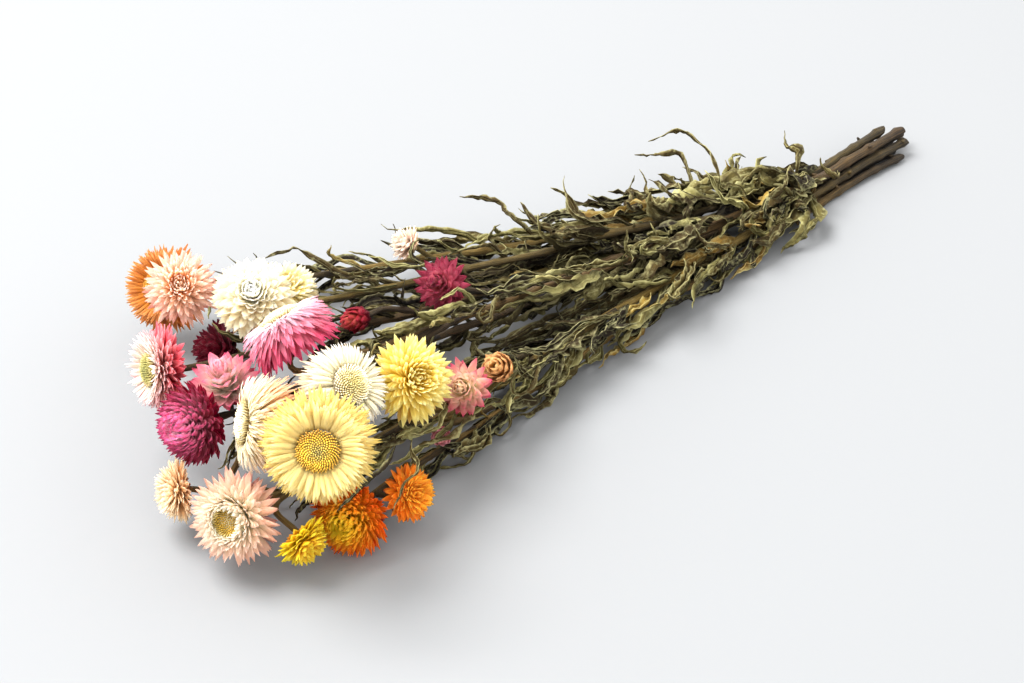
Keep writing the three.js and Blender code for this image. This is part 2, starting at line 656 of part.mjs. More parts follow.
const names = Object.keys(BLOOMS);
names.forEach((name, index) => room.add(headPoints(BLOOMS[name]), "bloom " + index));

const stems = STEMS.map((stem, index) => {
  const main = stemRoute(stem, index);
  const radiusAt = (s) => mix(STEM_RADIUS, STALK_RADIUS, Math.min(s / main.length, 1));
  const forks = stem.forks.map(([name, fork]) => ({
    route: stalkRoute(main, name, fork),
    radius: Math.min(0.8 * radiusAt(fork), FORK_RADIUS),
  }));
  room.add(stalkPoints(main, STEM_RADIUS, STALK_RADIUS), index);
  forks.forEach(({ route, radius }) => room.add(stalkPoints(route, radius, STALK_RADIUS), index));
  return { main, radiusAt, forks };
});

stems.forEach(({ main, radiusAt, forks }, index) => {
  const pieces = [stalkSolid(main, STEM_RADIUS, STALK_RADIUS, STEM_SIDES, STEM_STEP)];
  for (const stray of STEMS[index].strays ?? []) {
    const sections = straySections(main, stray);
    pieces.push(leafSolid(sections));
    room.add(leafPoints(sections, STRAY.measured), index);
  }
  pieces.push(...growLeaves(main, radiusAt, index, room, STEM_LEAVES, SEEDS.stemLeaves + index));
  forks.forEach(({ route, radius }, n) => {
    pieces.push(stalkSolid(route, radius, STALK_RADIUS, STALK_SIDES, STALK_STEP));
    const plan = { ...STALK_LEAVES, count: Math.floor(route.length / STALK_LEAVES.every) };
    pieces.push(...growLeaves(route, () => radius, index, room, plan, SEEDS.stalkLeaves + 10 * index + n));
  });
  show("leafy_stem_" + (index + 1), wasm.Manifold.union(pieces), FINISHES.foliage);
});

names.forEach((name, index) => {
  const bloom = BLOOMS[name];
  show("bloom_" + name, headOf(bloom, SEEDS.heads + index), FINISHES[name]);
  if (FORMS[bloom.form].disc >= OPEN_DISC) show("disc_" + name, discOf(bloom), FINISHES.florets);
});

export default bunch;
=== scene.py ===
import bisect
import math
from collections import namedtuple

import bmesh
import bpy
from bpy.props import FloatProperty, FloatVectorProperty, IntProperty, PointerProperty
from bpy.types import Operator, Panel, PropertyGroup
from mathutils import Matrix, Quaternion, Vector, noise
from mathutils.kdtree import KDTree


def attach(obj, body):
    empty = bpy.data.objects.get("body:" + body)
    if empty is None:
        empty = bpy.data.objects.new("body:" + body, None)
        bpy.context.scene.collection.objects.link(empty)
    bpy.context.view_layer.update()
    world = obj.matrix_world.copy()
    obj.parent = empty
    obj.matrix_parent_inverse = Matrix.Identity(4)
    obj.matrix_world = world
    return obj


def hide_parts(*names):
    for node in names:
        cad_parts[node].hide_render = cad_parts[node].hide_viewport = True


bl_info = {
    "name": "Dried Strawflowers",
    "version": (1, 0, 0),
    "blender": (4, 5, 0),
    "location": "View3D > Sidebar > Strawflowers",
    "description": "Papery blooms, ribbed stems and dry leaves for a bunch of dried strawflowers",
    "category": "Object",
}

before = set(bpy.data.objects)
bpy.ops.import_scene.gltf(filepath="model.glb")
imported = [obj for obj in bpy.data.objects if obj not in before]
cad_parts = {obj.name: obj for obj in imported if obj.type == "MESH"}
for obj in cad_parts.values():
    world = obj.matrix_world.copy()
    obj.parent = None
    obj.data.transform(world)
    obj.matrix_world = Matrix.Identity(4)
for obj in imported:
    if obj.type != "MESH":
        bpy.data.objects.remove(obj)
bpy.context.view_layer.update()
BODY = "root"

MM = 0.001
MIDDLE = Vector((6, 16, 0))  # where the bunch's middle lies among the places below
UP = Vector((0, 0, 1))
FLOOR_CLEARANCE = 0.3  # the least height of anything thin that lies on the floor

# ---- Blooms ----
# Where the middle of a bloom is, where it faces (degrees round +Z from +X, and up), its diameter, its form,
# and how many more and narrower its bracts are than that form's own.
Bloom = namedtuple("Bloom", "at faces width form fineness", defaults=[1.0])
BLOOMS = {
    "apricot": Bloom((-158, 107, 36), (-172, 36), 46, "hairy", 1.2),
    "peach": Bloom((-170, 65, 69), (-122, 54), 39, "ragged", 1.1),
    "cream_tall": Bloom((-151, 34, 73), (-126, 60), 41, "full", 1.1),
    "cream_far": Bloom((-117, 52, 48), (-74, 62), 34, "small", 1.2),
    "blush": Bloom((-207, 37, 56), (166, 16), 42, "hairy"),
    "crimson_low": Bloom((-152, 75, 13.4), (165, 25), 30, "cup"),
    "rose_cup": Bloom((-190, 4, 64), (-170, 78), 32, "cup"),
    "rose_swept": Bloom((-160, -1, 83), (95, 47), 41, "swept", 1.1),
    "magenta": Bloom((-220, -6, 58), (-170, 24), 39, "dome", 1.1),
    "cream_swept": Bloom((-204, -33, 69), (150, 16), 41, "swept", 1.7),
    "ivory_swept": Bloom((-163, -55, 81), (-80, 46), 38, "swept", 1.5),
    "lemon": Bloom((-200, -80, 83), (-130, 30), 51, "open", 2.0),
    "yellow": Bloom((-131, -61, 70), (-95, 40), 42, "strap", 1.1),
    "rose_small": Bloom((-107, -62, 51), (-148, 42), 26, "cup"),
    "crimson_small": Bloom((-71, -4, 58), (-158, 43), 27, "cup", 1.2),
    "crimson_bud": Bloom((-112, 9, 50), (-170, 20), 12, "bud"),
    "pale_bud": Bloom((-42, 60, 32), (150, 40), 19, "cup"),
    "tan": Bloom((-230, -5, 24), (161, 9), 30, "small", 1.4),
    "peach_large": Bloom((-225, -44, 32), (-155, 28), 46, "bowl"),
    "yellow_low": Bloom((-202, -69, 19), (-90, -20), 27, "small", 0.75),
    "orange": Bloom((-182, -69, 19.5), (-150, 18), 38, "dome", 1.35),
    "orange_small": Bloom((-150, -79, 25), (-80, 30), 28, "small", 1.1),
    "pink_bud": Bloom((-115, -56, 22), (-132, 30), 9, "bud"),
    "gold_bud": Bloom((-82, -58, 46), (-154, 46), 14, "bud"),
}

# How a head is built, as shares of its radius and, for angles, degrees from the way that it faces. Each
# pair runs from the innermost ring of bracts to the outermost.
#   disc, base, depth: the radius of its middle and of its underside, and how far down the rings go
#   lean, length, curl: how far a bract leans out, how long it is and how far it curls in over the head
#   rows, count, half: how many rings there are, how many bracts in each, and half a bract's width
#   cup, hook, blunt: how hollow a bract is, how far its tip hooks in and how blunt that tip is
#   tuft, wild: how many short bracts stand in the middle, and how unevenly they all grow
Form = namedtuple("Form", "disc base depth lean length curl rows count half cup hook blunt tuft wild")
FORMS = {
    "open": Form(.36, .28, .34, (66, 96), (.46, .72), (10, -4), 9, (34, 34), (.078, .094),
                 .04, 3, .35, 0, .6),
    "hairy": Form(.36, .28, .34, (54, 98), (.44, .73), (20, -8), 9, (44, 24), (.036, .090),
                  .35, 10, .35, 0, 1),
    "bowl": Form(.36, .28, .34, (-30, 98), (.22, .72), (10, -6), 12, (30, 28), (.044, .078),
                 .22, 6, .35, 0, .8),
    "full": Form(.09, .26, .38, (-4, 96), (.32, .75), (40, -6), 11, (8, 22), (.120, .120),
                 .35, 20, .65, 14, .6),
    "ragged": Form(.20, .26, .38, (16, 96), (.36, .76), (34, -6), 11, (14, 22), (.050, .090),
                   .40, 12, .3, 40, 1.2),
    "strap": Form(.18, .26, .38, (20, 96), (.42, .75), (44, -4), 11, (13, 22), (.060, .095),
                  .30, 14, .5, 30, .8),
    "small": Form(.26, .28, .36, (40, 96), (.46, .73), (30, -6), 7, (14, 18), (.090, .125),
                  .40, 12, .45, 22, .8),
    "dome": Form(.10, .30, .50, (26, 88), (.50, .76), (70, 34), 13, (9, 26), (.085, .085),
                 .50, 55, .5, 10, .6),
    "cup": Form(.08, .20, .62, (-2, 66), (.66, .96), (38, 2), 6, (5, 13), (.220, .170),
                .45, 12, .35, 5, .6),
    "bud": Form(.20, .60, 1.0, (5, 18), (1.6, 1.5), (30, 40), 4, (5, 8), (.300, .420),
                .50, 10, .5, 0, .3),
    "swept": Form(.46, .34, .30, (92, 138), (.52, .95), (-40, -22), 9, (34, 24), (.040, .095),
                  .40, 0, .25, 0, .8),
}
UNDER = 0.14  # a head's own depth below its outermost bracts
FOOT_RADIUS = 2.7  # of the flat face that sits on the stalk
FOOT_HEIGHT = 1
DISC_GAP = 0.4  # round a disc of florets, and under it
APPROACH = 16  # how far a stalk runs straight up to its bloom
GAP = 0.4  # between a stalk and the bloom that it carries

# ---- Leafy stems: the same driving sizes as the model's ----
NECK = Vector((180, -26, 8))  # the narrowest place, where the stems lie packed together
HEADS_MIDDLE = Vector((-170, 5, 50))  # where the bunch's middle line ends, among the blooms
STEM_SPACING = 5.75  # between the centres of stems at the neck
HELD = 24  # how far from the neck towards the cut ends the stems stay side by side
END_SPREAD = 1.22  # how far the stems fan out again at their cut ends
ROW_RISE = 0.87  # of that spacing, from one row of packed stems to the next
STEM_RADIUS = 3.1  # at the cut end
STALK_RADIUS = 1.5  # under a bloom
FORK_RADIUS = 2.1  # the most that a stalk has where it forks off
FORK_THINNER = 0.8  # a stalk's radius there, beside its stem's
FLATTENED = 0.1  # how much of the lowest stems is flat against the surface
ABOVE_SURFACE = 0.3  # how far a stem or a stalk keeps off the surface elsewhere
DIVISIONS = 24  # of a route between two of its places
# Places on the way from the neck to the heads, as shares of it, how late the stems open out, and their sway.
FAN_AT = (0.22, 0.45, 0.7)
FAN_SHORT_AT = (0.3, 0.62)
FAN_OPENS = 1.25
SWAY = (3, 2)
# How far a stalk follows its stem, and how much of the way to its bloom it has come there.
LEAVING = (14, 0.06)
HALFWAY = (0.45, 0.5)  # the same half way there, as a share of the distance to its bloom

# Leaves: how many, how much they crowd towards the cut end, where the first is, how far before the bloom
# they stop, their length and width, from the cut end to the bloom, and the least and most that they stand
# off.
Plan = namedtuple("Plan", "count crowd first stops length width spread")
STEM_LEAVES = Plan(16, 1.4, 62, 50, (66, 44), (11.5, 4.2), (5, 22))
STALK_LEAVES = Plan(0, 1, 20, 34, (40, 30), (4.5, 3.5), (4, 12))
STALK_LEAF_EVERY = 55  # along a stalk
LEAF_STEPS = 4  # straight lengths in one of the model's leaves
LEAF_TRIES = 24  # draws of one leaf, until it found room
LOWEST_LEAF = 0.9  # how near a leaf's middle comes to the surface
STANDS_OFF = 1.4  # from a stem's side to a leaf's middle line, near its foot
# How a leaf's draws vary, and how much smaller and further round its stem it is drawn as its tries run out.
VARIED_FOOT = 0.6
VARIED_LENGTH = (0.75, 1.25)
VARIED_WIDTH = (0.8, 1.2)
VARIED_SPREAD = (1.2, 0.8)
SPREAD_LOW = 1.5  # the power that keeps most leaves near their stem
VARIED_ROUND = 2.2
VARIED_TURN = 1.8
VARIED_WAVE = 0.6
VARIED_TWIST = 2
SHRINKS = 0.5
NARROWS = 0.6  # how much of that its width has
ROUND_MORE = 0.4
# A leaf's middle line: how much of its length it covers along its stem, how near the stem it starts, how
# its distance from it varies, and how fast that and the turning round it come and go.
LEAF_REACH = 0.92
STARTS_OFF = 0.1
OFF_VARIES = 0.3
OFF_WAVES = 6
ROUND_WAVES = 5
SEED_STEM_LEAVES = 16
SEED_STALK_LEAVES = 200
SEED_ROUTES = 900
SEEDS_PER_STEM = 10  # how far apart the seeds of two stems, two branches and two leaves are
SEEDS_PER_BRANCH = 977
SEEDS_PER_LEAF = 31

# A stem's place at the neck (across, row), how far its cut end reaches past the neck, and the bloom that it
# leads to. Each other bloom ends a stalk that forks off at that distance from the cut end, as a stray leaf
# does at its foot. Its hue runs from olive, at 0, to brown, at 1.
Stray = namedtuple("Stray", "foot width through")
Stem = namedtuple("Stem", "slot reach leads forks via strays hue", defaults=[(), (), (), 0.0])
STEMS = [
    Stem((1.5, 0), 60, "crimson_low", [("pale_bud", 190)], hue=0.2),
    Stem((1, 1), 50, "apricot", [("peach", 303)], hue=0.35, strays=[
        Stray(297, 4.5, [(-72, 68, 20), (-81, 80, 28), (-88, 88, 34), (-105, 91, 36)]),
        Stray(212, 4, [(20, 44, 24), (17, 58, 30), (5, 70, 32)]),
        Stray(105, 5, [(135, 9, 26), (134, 26, 34), (126, 32, 38), (110, 36, 36)]),
        Stray(122, 4.5, [(128, 26, 22), (119, 34, 23), (113, 47, 20)]),
    ]),
    Stem((0.5, 2), 58, "cream_tall", [("cream_far", 278)], hue=0.15),
    Stem((0.5, 0), 70, "blush", [("tan", 300)], hue=0.7),
    Stem((0, 1), 71, "magenta", [("rose_cup", 330), ("crimson_small", 200), ("crimson_bud", 250)], hue=0.55),
    Stem((-0.5, 2), 66, "rose_swept", [("cream_swept", 310), ("ivory_swept", 320)], hue=0.8),
    Stem((-0.5, 0), 64, "peach_large", [("yellow_low", 340)], hue=0.4),
    Stem((-1, 1), 68, "lemon", [("yellow", 270), ("rose_small", 264), ("gold_bud", 240)],
         via=[(-140, -59, 38), (-172, -62, 50)], hue=0.3, strays=[
        Stray(384, 3, [(-147, -74, 44), (-151, -83, 44), (-161, -86, 43), (-172, -92, 38)]),
        Stray(394, 3, [(-162, -76, 48), (-173, -79, 48), (-187, -80, 46), (-193, -80, 43)]),
    ]),
    Stem((-1.5, 0), 60, "orange", [("orange_small", 330), ("pink_bud", 270)], hue=0.6),
]


# ---- Small helpers ----
ABOUT_A_TURN = 6.3  # in radians
# The numbers of the sequence that random draws come from.
WORD = 2**32
SEED_FACTOR = 2654435761
SEED_MASK = 0x5BD1E995
DRAW_FACTOR = 1664525
DRAW_STEP = 1013904223


def mix(a, b, t):
    return a + (b - a) * t


def place(p):
    """A place in the bunch, in millimetres, as a point of the frame, in metres."""
    return (Vector(p) - MIDDLE) * MM


def direction(angles):
    """The unit vector at an angle round +Z from +X and an angle up, in degrees."""
    turn, rise = (math.radians(a) for a in angles)
    return Vector((math.cos(rise) * math.cos(turn), math.cos(rise) * math.sin(turn), math.sin(rise)))


def across(along):
    """Two unit vectors square to a direction: one level, and one as upright as it can be."""
    side = UP.cross(along).normalized()
    return side, along.cross(side)


def draws(seed):
    """A linear congruential sequence of numbers from 0 to 1, the same one that placed the model's leaves."""
    state = ((seed + 1) * SEED_FACTOR % WORD) ^ SEED_MASK

    def following():
        nonlocal state
        state = (state * DRAW_FACTOR + DRAW_STEP) % WORD
        return state / WORD

    following()
    return following


def any_angle(rng):
    return ABOUT_A_TURN * rng()


def swing(rng, width):
    """A number drawn from a range of some width round 0."""
    return width * (rng() - 0.5)


def linear(code):
    """A six-digit colour code as linear red, green and blue."""
    parts = (int(code[i:i + 2], 16) / 255 for i in (0, 2, 4))
    return tuple(c / 12.92 if c <= 0.04045 else ((c + 0.055) / 1.055) ** 2.4 for c in parts)


# ---- Settings ----
def colour(name, code, description):
    return FloatVectorProperty(name=name, description=description, default=linear(code), subtype="COLOR",
                               min=0, max=1)


def quantity(name, default, description, least=0, **more):
    return FloatProperty(name=name, description=description, default=default, min=least, **more)


def share(name, default, description):
    return quantity(name, default, description, max=1, subtype="FACTOR")


def length(name, default, description):
    return quantity(name, default, description, unit="LENGTH")


def whole(name, default, description, least, most):
    return IntProperty(name=name, description=description, default=default, min=least, max=most)


def settings_of(kind, name, description):
    return PointerProperty(type=kind, name=name, description=description)


# The colours of each bloom's bracts: inner root, inner tip, outer root, outer tip, and under the head.
BRACT_COLOURS = {
    "apricot": ("E8A440", "ECB478", "C06C20", "DC8840", "B86C30"),
    "peach": ("FFC078", "FFFFFA", "FFECD8", "FFCAB8", "EC8C80"),
    "cream_tall": ("FFFFF0", "FFFFFE", "FFECBC", "FFFCE4", "E8A438"),
    "cream_far": ("FFF2B8", "FFFFF6", "FFF2B8", "FFF0C8", "F4D080"),
    "blush": ("FFF8E8", "FFF8F6", "EC4C64", "F08894", "B82844"),
    "crimson_low": ("A01038", "740A26", "98203C", "50041A", "500616"),
    "rose_cup": ("FFF4E0", "FFB0C4", "FFF8EC", "E43878", "A00828"),
    "rose_swept": ("FFFFFF", "FFCCDC", "FFB0C8", "E83C7C", "B02050"),
    "magenta": ("FFE8F0", "F45CA4", "C8004C", "84001C", "6C0018"),
    "cream_swept": ("FFF6D8", "FFFCEE", "FBE2B8", "F8C8A0", "E8A080"),
    "ivory_swept": ("FFFAE4", "FFFFFA", "FDF2DC", "FAE0BC", "D8A878"),
    "lemon": ("FFF0B4", "FFF0B8", "FFF2C4", "F6DC78", "F0C84C"),
    "yellow": ("FFE454", "FFFCD0", "FFE458", "FFF4A8", "F8AC28"),
    "rose_small": ("FFFAD0", "FFE0C4", "FFF8D8", "DC2C6C", "C82860"),
    "crimson_small": ("F4A0A0", "980648", "E07090", "88042C", "780624"),
    "crimson_bud": ("E09A7A", "C02644", "C8303E", "AE1840", "8C1230"),
    "pale_bud": ("FFF8EA", "FFF4E6", "FBE6D8", "FBEADC", "E8D0A8"),
    "tan": ("FFE4BC", "FFF8E4", "FFDCAC", "FFEACA", "D08858"),
    "peach_large": ("FFFAE0", "FFFCF0", "FFF6E0", "FFCAB4", "B05878"),
    "yellow_low": ("FCC838", "FFF058", "FFE828", "FFF040", "F0B030"),
    "orange": ("FCF040", "FFD838", "FFB024", "FF6C08", "B83010"),
    "orange_small": ("FFBC38", "FFCC48", "FFAC24", "FF9824", "A82414"),
    "pink_bud": ("F8D0C0", "F4A8B4", "E09098", "F0B0B8", "C87080"),
    "gold_bud": ("F8DCA8", "F0C88C", "E0AC70", "F0C088", "B88848"),
}
COLOUR_PLACES = ("inner_root", "inner_tip", "outer_root", "outer_tip", "under")
# The colours of a disc of florets, from its middle to its rim.
FLORET_COLOURS = {
    "apricot": ("A08A3C", "D0A040", "B87828"),
    "blush": ("8A8A58", "B0A868", "C8B888"),
    "rose_swept": ("EADDB0", "F0E3BC", "D8C898"),
    "cream_swept": ("EADFB8", "F2E8C8", "A89868"),
    "ivory_swept": ("DCD08C", "F0E4B4", "FAF2DA"),
    "lemon": ("C0B478", "FFDC58", "D4AC50"),
    "peach_large": ("A88C30", "CCAC4C", "F4E8B4"),
}
FLORET_PLACES = ("middle", "half_way", "rim")


def colour_settings(title, table, places):
    """A PropertyGroup with a colour for each place of each bloom in a table."""
    properties = {
        f"{name}_{where}": colour(f"{name} {where}".replace("_", " ").capitalize(), code, f"{title}, {where}")
        for name, codes in table.items() for where, code in zip(places, codes)
    }
    return type(title.replace(" ", ""), (PropertyGroup,), {"__annotations__": properties})


BractColours = colour_settings("Bract Colours", BRACT_COLOURS, COLOUR_PLACES)
FloretColours = colour_settings("Floret Colours", FLORET_COLOURS, FLORET_PLACES)


class BractSettings(PropertyGroup):
    thickness: length("Thickness", 0.00018, "How thick a papery bract is")
    glow: share("Glow", 0.72, "How much light shines through a bract")
    streaks: share("Streaks", 0.2, "How strongly the fine lines along a bract show")


class StemSettings(PropertyGroup):
    olive: colour("Olive", "786826", "The greenest stems")
    brown: colour("Brown", "80602E", "The brownest stems")
    pith: colour("Pith", "C8B088", "The middle of a cut end")
    sides: whole("Sides", 12, "Sides of a stem", 6, 32)
    ribs: share("Ribs", 0.07, "How far the ribs of a stem stand out, as a share of its radius")


class LeafSettings(PropertyGroup):
    thickness: length("Thickness", 0.00028, "How thick a dry leaf is")
    crinkle: share("Crinkle", 0.75, "How much a dry leaf's edges ruffle")
    more: whole("More leaves", 5, "Thin leaves grown beside each of the model's", 0, 8)


class StageSettings(PropertyGroup):
    floor: colour("Floor", "868788", "The plain floor")
    key: quantity("Key light", 142, "Power of the large soft light", unit="POWER")
    fill: quantity("Sky", 2.27, "Strength of the even light from all round")
    contrast: quantity("Gamma", 0.88, "Of the view: under 1 deepens the shadows", least=0.1)
    distance: length("Camera distance", 1.0, "From the camera to what it looks at")
    lens: quantity("Lens", 70, "Focal length in millimetres", least=10)


# ---- Routes, as the model's stems run ----
class Route:
    """A smooth way through a few places, which gives its point and its direction at a distance along it."""

    def __init__(self, places):
        self.dense = spline([Vector(p) for p in places], DIVISIONS * (len(places) - 1))
        self.lengths = [0.0]
        for before, after in zip(self.dense, self.dense[1:]):
            self.lengths.append(self.lengths[-1] + (after - before).length)
        self.length = self.lengths[-1]

    def point(self, s):
        dense, lengths = self.dense, self.lengths
        if s >= self.length:
            return dense[-1] + (dense[-1] - dense[-2]).normalized() * (s - self.length)
        i = max(1, bisect.bisect_left(lengths, s))
        return dense[i - 1].lerp(dense[i], (s - lengths[i - 1]) / (lengths[i] - lengths[i - 1]))

    def along(self, s):
        at = min(s, self.length)
        return (self.point(at + 1) - self.point(max(at - 1, 0))).normalized()


def spline(places, divisions):
    """Evenly drawn points of a Catmull-Rom curve through some places."""
    ends = [2 * places[0] - places[1], *places, 2 * places[-1] - places[-2]]
    last = len(places) - 2
    points = []
    for d in range(divisions + 1):
        gone = d / divisions * (len(places) - 1)
        i = min(int(gone), last)
        t = gone - i
        p0, p1, p2, p3 = ends[i:i + 4]
        leaves, arrives = (p2 - p0) / 2, (p3 - p1) / 2
        points.append(p1 + leaves * t + (3 * (p2 - p1) - 2 * leaves - arrives) * t**2
                      + (2 * (p1 - p2) + leaves + arrives) * t**3)
    return points


def slot_place(slot, spread):
    """Where a stem's middle lies, across the bunch and up, where the stems are spread that much."""
    rise = slot[1] * STEM_SPACING * ROW_RISE * (1 + (spread - 1) / 2)
    return NECK.y + slot[0] * STEM_SPACING * spread, STEM_RADIUS - FLATTENED + rise


def foot_depth(bloom):
    """How far the flat foot of a head lies behind its middle."""
    return bloom.width / 2 * (FORMS[bloom.form].depth + UNDER) + FOOT_HEIGHT


def approach_to(bloom):
    """The last two places of a stalk: where it straightens, and where it stops under its bloom."""
    facing = direction(bloom.faces)
    stop = Vector(bloom.at) - facing * (foot_depth(bloom) + GAP)
    turn = stop - facing * APPROACH
    turn.z = max(turn.z, STALK_RADIUS + ABOVE_SURFACE)
    return turn, stop


def stem_route(stem, index):
    """A stem runs from its cut end through the neck, and then fans out to the bloom that it leads to."""
    following = draws(SEED_ROUTES + index)
    end, held, neck = (
        Vector((NECK.x + reach, *slot_place(stem.slot, mix(1, END_SPREAD, reach / stem.reach))))
        for reach in (stem.reach, HELD, 0)
    )
    turn, stop = approach_to(BLOOMS[stem.leads])
    via = [Vector(p) for p in stem.via]
    heads = via[0] if via else turn
    fanned = []
    for u in FAN_SHORT_AT if via else FAN_AT:
        opened = u**FAN_OPENS
        y = mix(neck.y, heads.y, opened) + swing(following, SWAY[0])
        z = mix(neck.z, heads.z, opened) + swing(following, SWAY[1])
        fanned.append(Vector((mix(neck.x, heads.x, u), y, max(z, STEM_RADIUS + ABOVE_SURFACE))))
    return Route([end, held, neck, *fanned, *via, turn, stop])


def stalk_route(stem_way, name, fork):
    """A stalk leaves its stem at a fork, follows it a little and then bends away to its own bloom."""
    turn, stop = approach_to(BLOOMS[name])
    start = stem_way.point(fork)
    leaving = stem_way.point(fork + LEAVING[0]).lerp(turn, LEAVING[1])
    halfway = stem_way.point(fork + HALFWAY[0] * (start - turn).length).lerp(turn, HALFWAY[1])
    return Route([start, leaving, halfway, turn, stop])


Branch = namedtuple("Branch", "way thick thin plan seed")


def branches_of(index):
    """A leafy stem's own way, and those of the stalks that fork off it."""
    stem = STEMS[index]
    way = stem_route(stem, index)
    found = [Branch(way, STEM_RADIUS, STALK_RADIUS, STEM_LEAVES, SEED_STEM_LEAVES + index)]
    for n, (name, fork) in enumerate(stem.forks):
        stalk = stalk_route(way, name, fork)
        radius = min(FORK_THINNER * mix(STEM_RADIUS, STALK_RADIUS, min(fork / way.length, 1)), FORK_RADIUS)
        plan = STALK_LEAVES._replace(count=int(stalk.length // STALK_LEAF_EVERY))
        seed = SEED_STALK_LEAVES + SEEDS_PER_STEM * index + n
        found.append(Branch(stalk, radius, STALK_RADIUS, plan, seed))
    return found


# ---- Making a piece ----
def new_mesh(**layers):
    """An empty bmesh with vertex attributes: a number for "float" and three for "float_vector"."""
    bm = bmesh.new()
    made = {name: getattr(bm.verts.layers, kind).new(name) for name, kind in layers.items()}
    return bm, made


def lathe(bm, rings, sides):
    """A closed tube of rings, each with a middle, two unit vectors of its plane, and a radius by angle. Gives
    every ring's corners with their angles, and the face that closes the first ring."""
    circle = bmesh.ops.create_circle(bm, cap_ends=True, segments=sides, radius=1)
    verts = circle["verts"]
    angles = [math.atan2(v.co.y, v.co.x) for v in verts]
    start = verts[0].link_faces[0]
    edges = list(start.edges)
    placed = []
    for number, (middle, across_way, up_way, radius_at) in enumerate(rings):
        if number:
            grown = bmesh.ops.extrude_edge_only(bm, edges=edges)["geom"]
            edges = [g for g in grown if isinstance(g, bmesh.types.BMEdge)]
            before = dict(zip(verts, angles))
            verts, angles = [], []
            for vert in (g for g in grown if isinstance(g, bmesh.types.BMVert)):
                below = next(e.other_vert(vert) for e in vert.link_edges if e.other_vert(vert) in before)
                verts.append(vert)
                angles.append(before[below])
        for vert, angle in zip(verts, angles):
            radius = radius_at(angle)
            vert.co = middle + across_way * (radius * math.cos(angle)) + up_way * (radius * math.sin(angle))
        placed.append(list(zip(verts, angles)))
    bmesh.ops.edgeloop_fill(bm, edges=edges)
    return placed, start


def order_faces(bm):
    """Puts the faces in the order of their last three corners, since extruding makes them in any order."""
    bm.verts.index_update()
    count = len(bm.verts)

    def by_corners(face):
        last, before, earlier = sorted((vert.index for vert in face.verts), reverse=True)[:3]
        return (last * count + before) * count + earlier

    bm.faces.sort(key=by_corners)


def finish_piece(bm, name, nodes, materials, thickness=0.0):
    """Makes an object of a bmesh whose places are in metres, and lets it stand for nodes of the model."""
    order_faces(bm)
    mesh = bpy.data.meshes.new(name)
    bm.to_mesh(mesh)
    bm.free()
    mesh.shade_smooth()
    for material in materials:
        mesh.materials.append(material)
    piece = bpy.data.objects.new(name, mesh)
    bpy.context.collection.objects.link(piece)
    if thickness:
        wall = piece.modifiers.new("Thickness", "SOLIDIFY")
        wall.thickness = thickness
        wall.offset = 0
    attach(piece, BODY)
    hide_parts(*nodes)


def keep_off_floor(bm):
    for vert in bm.verts:
        vert.co.z = max(vert.co.z, FLOOR_CLEARANCE * MM)


# ---- Materials ----
COLOUR = "NodeSocketColor"
NUMBER = "NodeSocketFloat"
BRACT_PLACES = ("Inner Root", "Inner Tip", "Outer Root", "Outer Tip", "Under")
PALE_STREAK = (1, 0.97, 0.9)
# What colours are multiplied by: where they are streaked or worn, and as painted shade between florets, in
# the creases of leaves and deep in the bunch, where little light reaches. The leaves' crease shade also
# darkens their dark patches and veins.
DARK_STREAK = (0.86, 0.72, 0.52)
PAINTED_SHADE_BETWEEN_FLORETS = (0.5, 0.36, 0.16)
STEM_STREAK = (0.26, 0.2, 0.12)
STEM_WORN = (0.08, 0.06, 0.03)
STEM_PAINTED_SHADE = (0.15, 0.11, 0.07)
LEAF_DARK_AND_CREASE_SHADE = (0.2, 0.15, 0.08)
LEAF_PAINTED_SHADE = (0.12, 0.09, 0.05)
# The dark and the pale patches of the stems and of their pith, and the pale parts of leaves, which also make
# the painted highlight on their raised crumples.
STEM_PATCHES = ("43381F", "A8966A")
PITH_PATCHES = ("7A5A30", "E2D0AC")
LEAF_PALE_AND_HIGHLIGHT = "DCD8A0"
# The colours of dry leaves, from the darkest to those that have bleached.
LEAF_TONES = [(0.0, "130D06"), (0.2, "2A1E0E"), (0.42, "5A4A22"), (0.6, "746C3C"), (0.78, "98925E"),
              (0.9, "86682A"), (1.0, "B4984C")]


def add_node(tree, kind, inputs=None, **settings):
    """A node with its settings, and with its sockets set or linked."""
    made = tree.nodes.new(kind)
    for key, value in settings.items():
        setattr(made, key, value)
    for key, value in (inputs or {}).items():
        if isinstance(value, bpy.types.NodeSocket):
            tree.links.new(value, made.inputs[key])
        else:
            made.inputs[key].default_value = value
    return made


def opaque(rgb):
    return (*rgb, 1.0)


def paint(code):
    return opaque(linear(code))


def mix_rgb(a, b, t):
    return tuple(mix(x, y, t) for x, y in zip(a, b))


def blend(tree, factor, a, b, how="MIX"):
    """Mixes two colours, which may be sockets."""
    mixed = tree.nodes.new("ShaderNodeMix")
    mixed.data_type = "RGBA"
    mixed.blend_type = how
    for socket, value in zip((mixed.inputs[0], mixed.inputs[6], mixed.inputs[7]), (factor, a, b)):
        if isinstance(value, bpy.types.NodeSocket):
            tree.links.new(value, socket)
        else:
            socket.default_value = value
    return mixed.outputs[2]


def darken(tree, factor, base, shade):
    """Multiplies a colour by a shade, as far as a factor says."""
    return blend(tree, factor, base, opaque(shade), how="MULTIPLY")


def sum_up(tree, how, a, b=0.0, clamp=False):
    """A Math node of two values, which may be sockets."""
    return add_node(tree, "ShaderNodeMath", {0: a, 1: b}, operation=how, use_clamp=clamp).outputs[0]


def times(tree, a, b):
    return sum_up(tree, "MULTIPLY", a, b)


def remap(tree, value, given, wanted, smooth=False):
    """Turns one range of values into another, and keeps what is past its ends at the ends."""
    inputs = {"Value": value, "From Min": given[0], "From Max": given[1],
              "To Min": wanted[0], "To Max": wanted[1]}
    kind = "SMOOTHSTEP" if smooth else "LINEAR"
    return add_node(tree, "ShaderNodeMapRange", inputs, interpolation_type=kind).outputs["Result"]


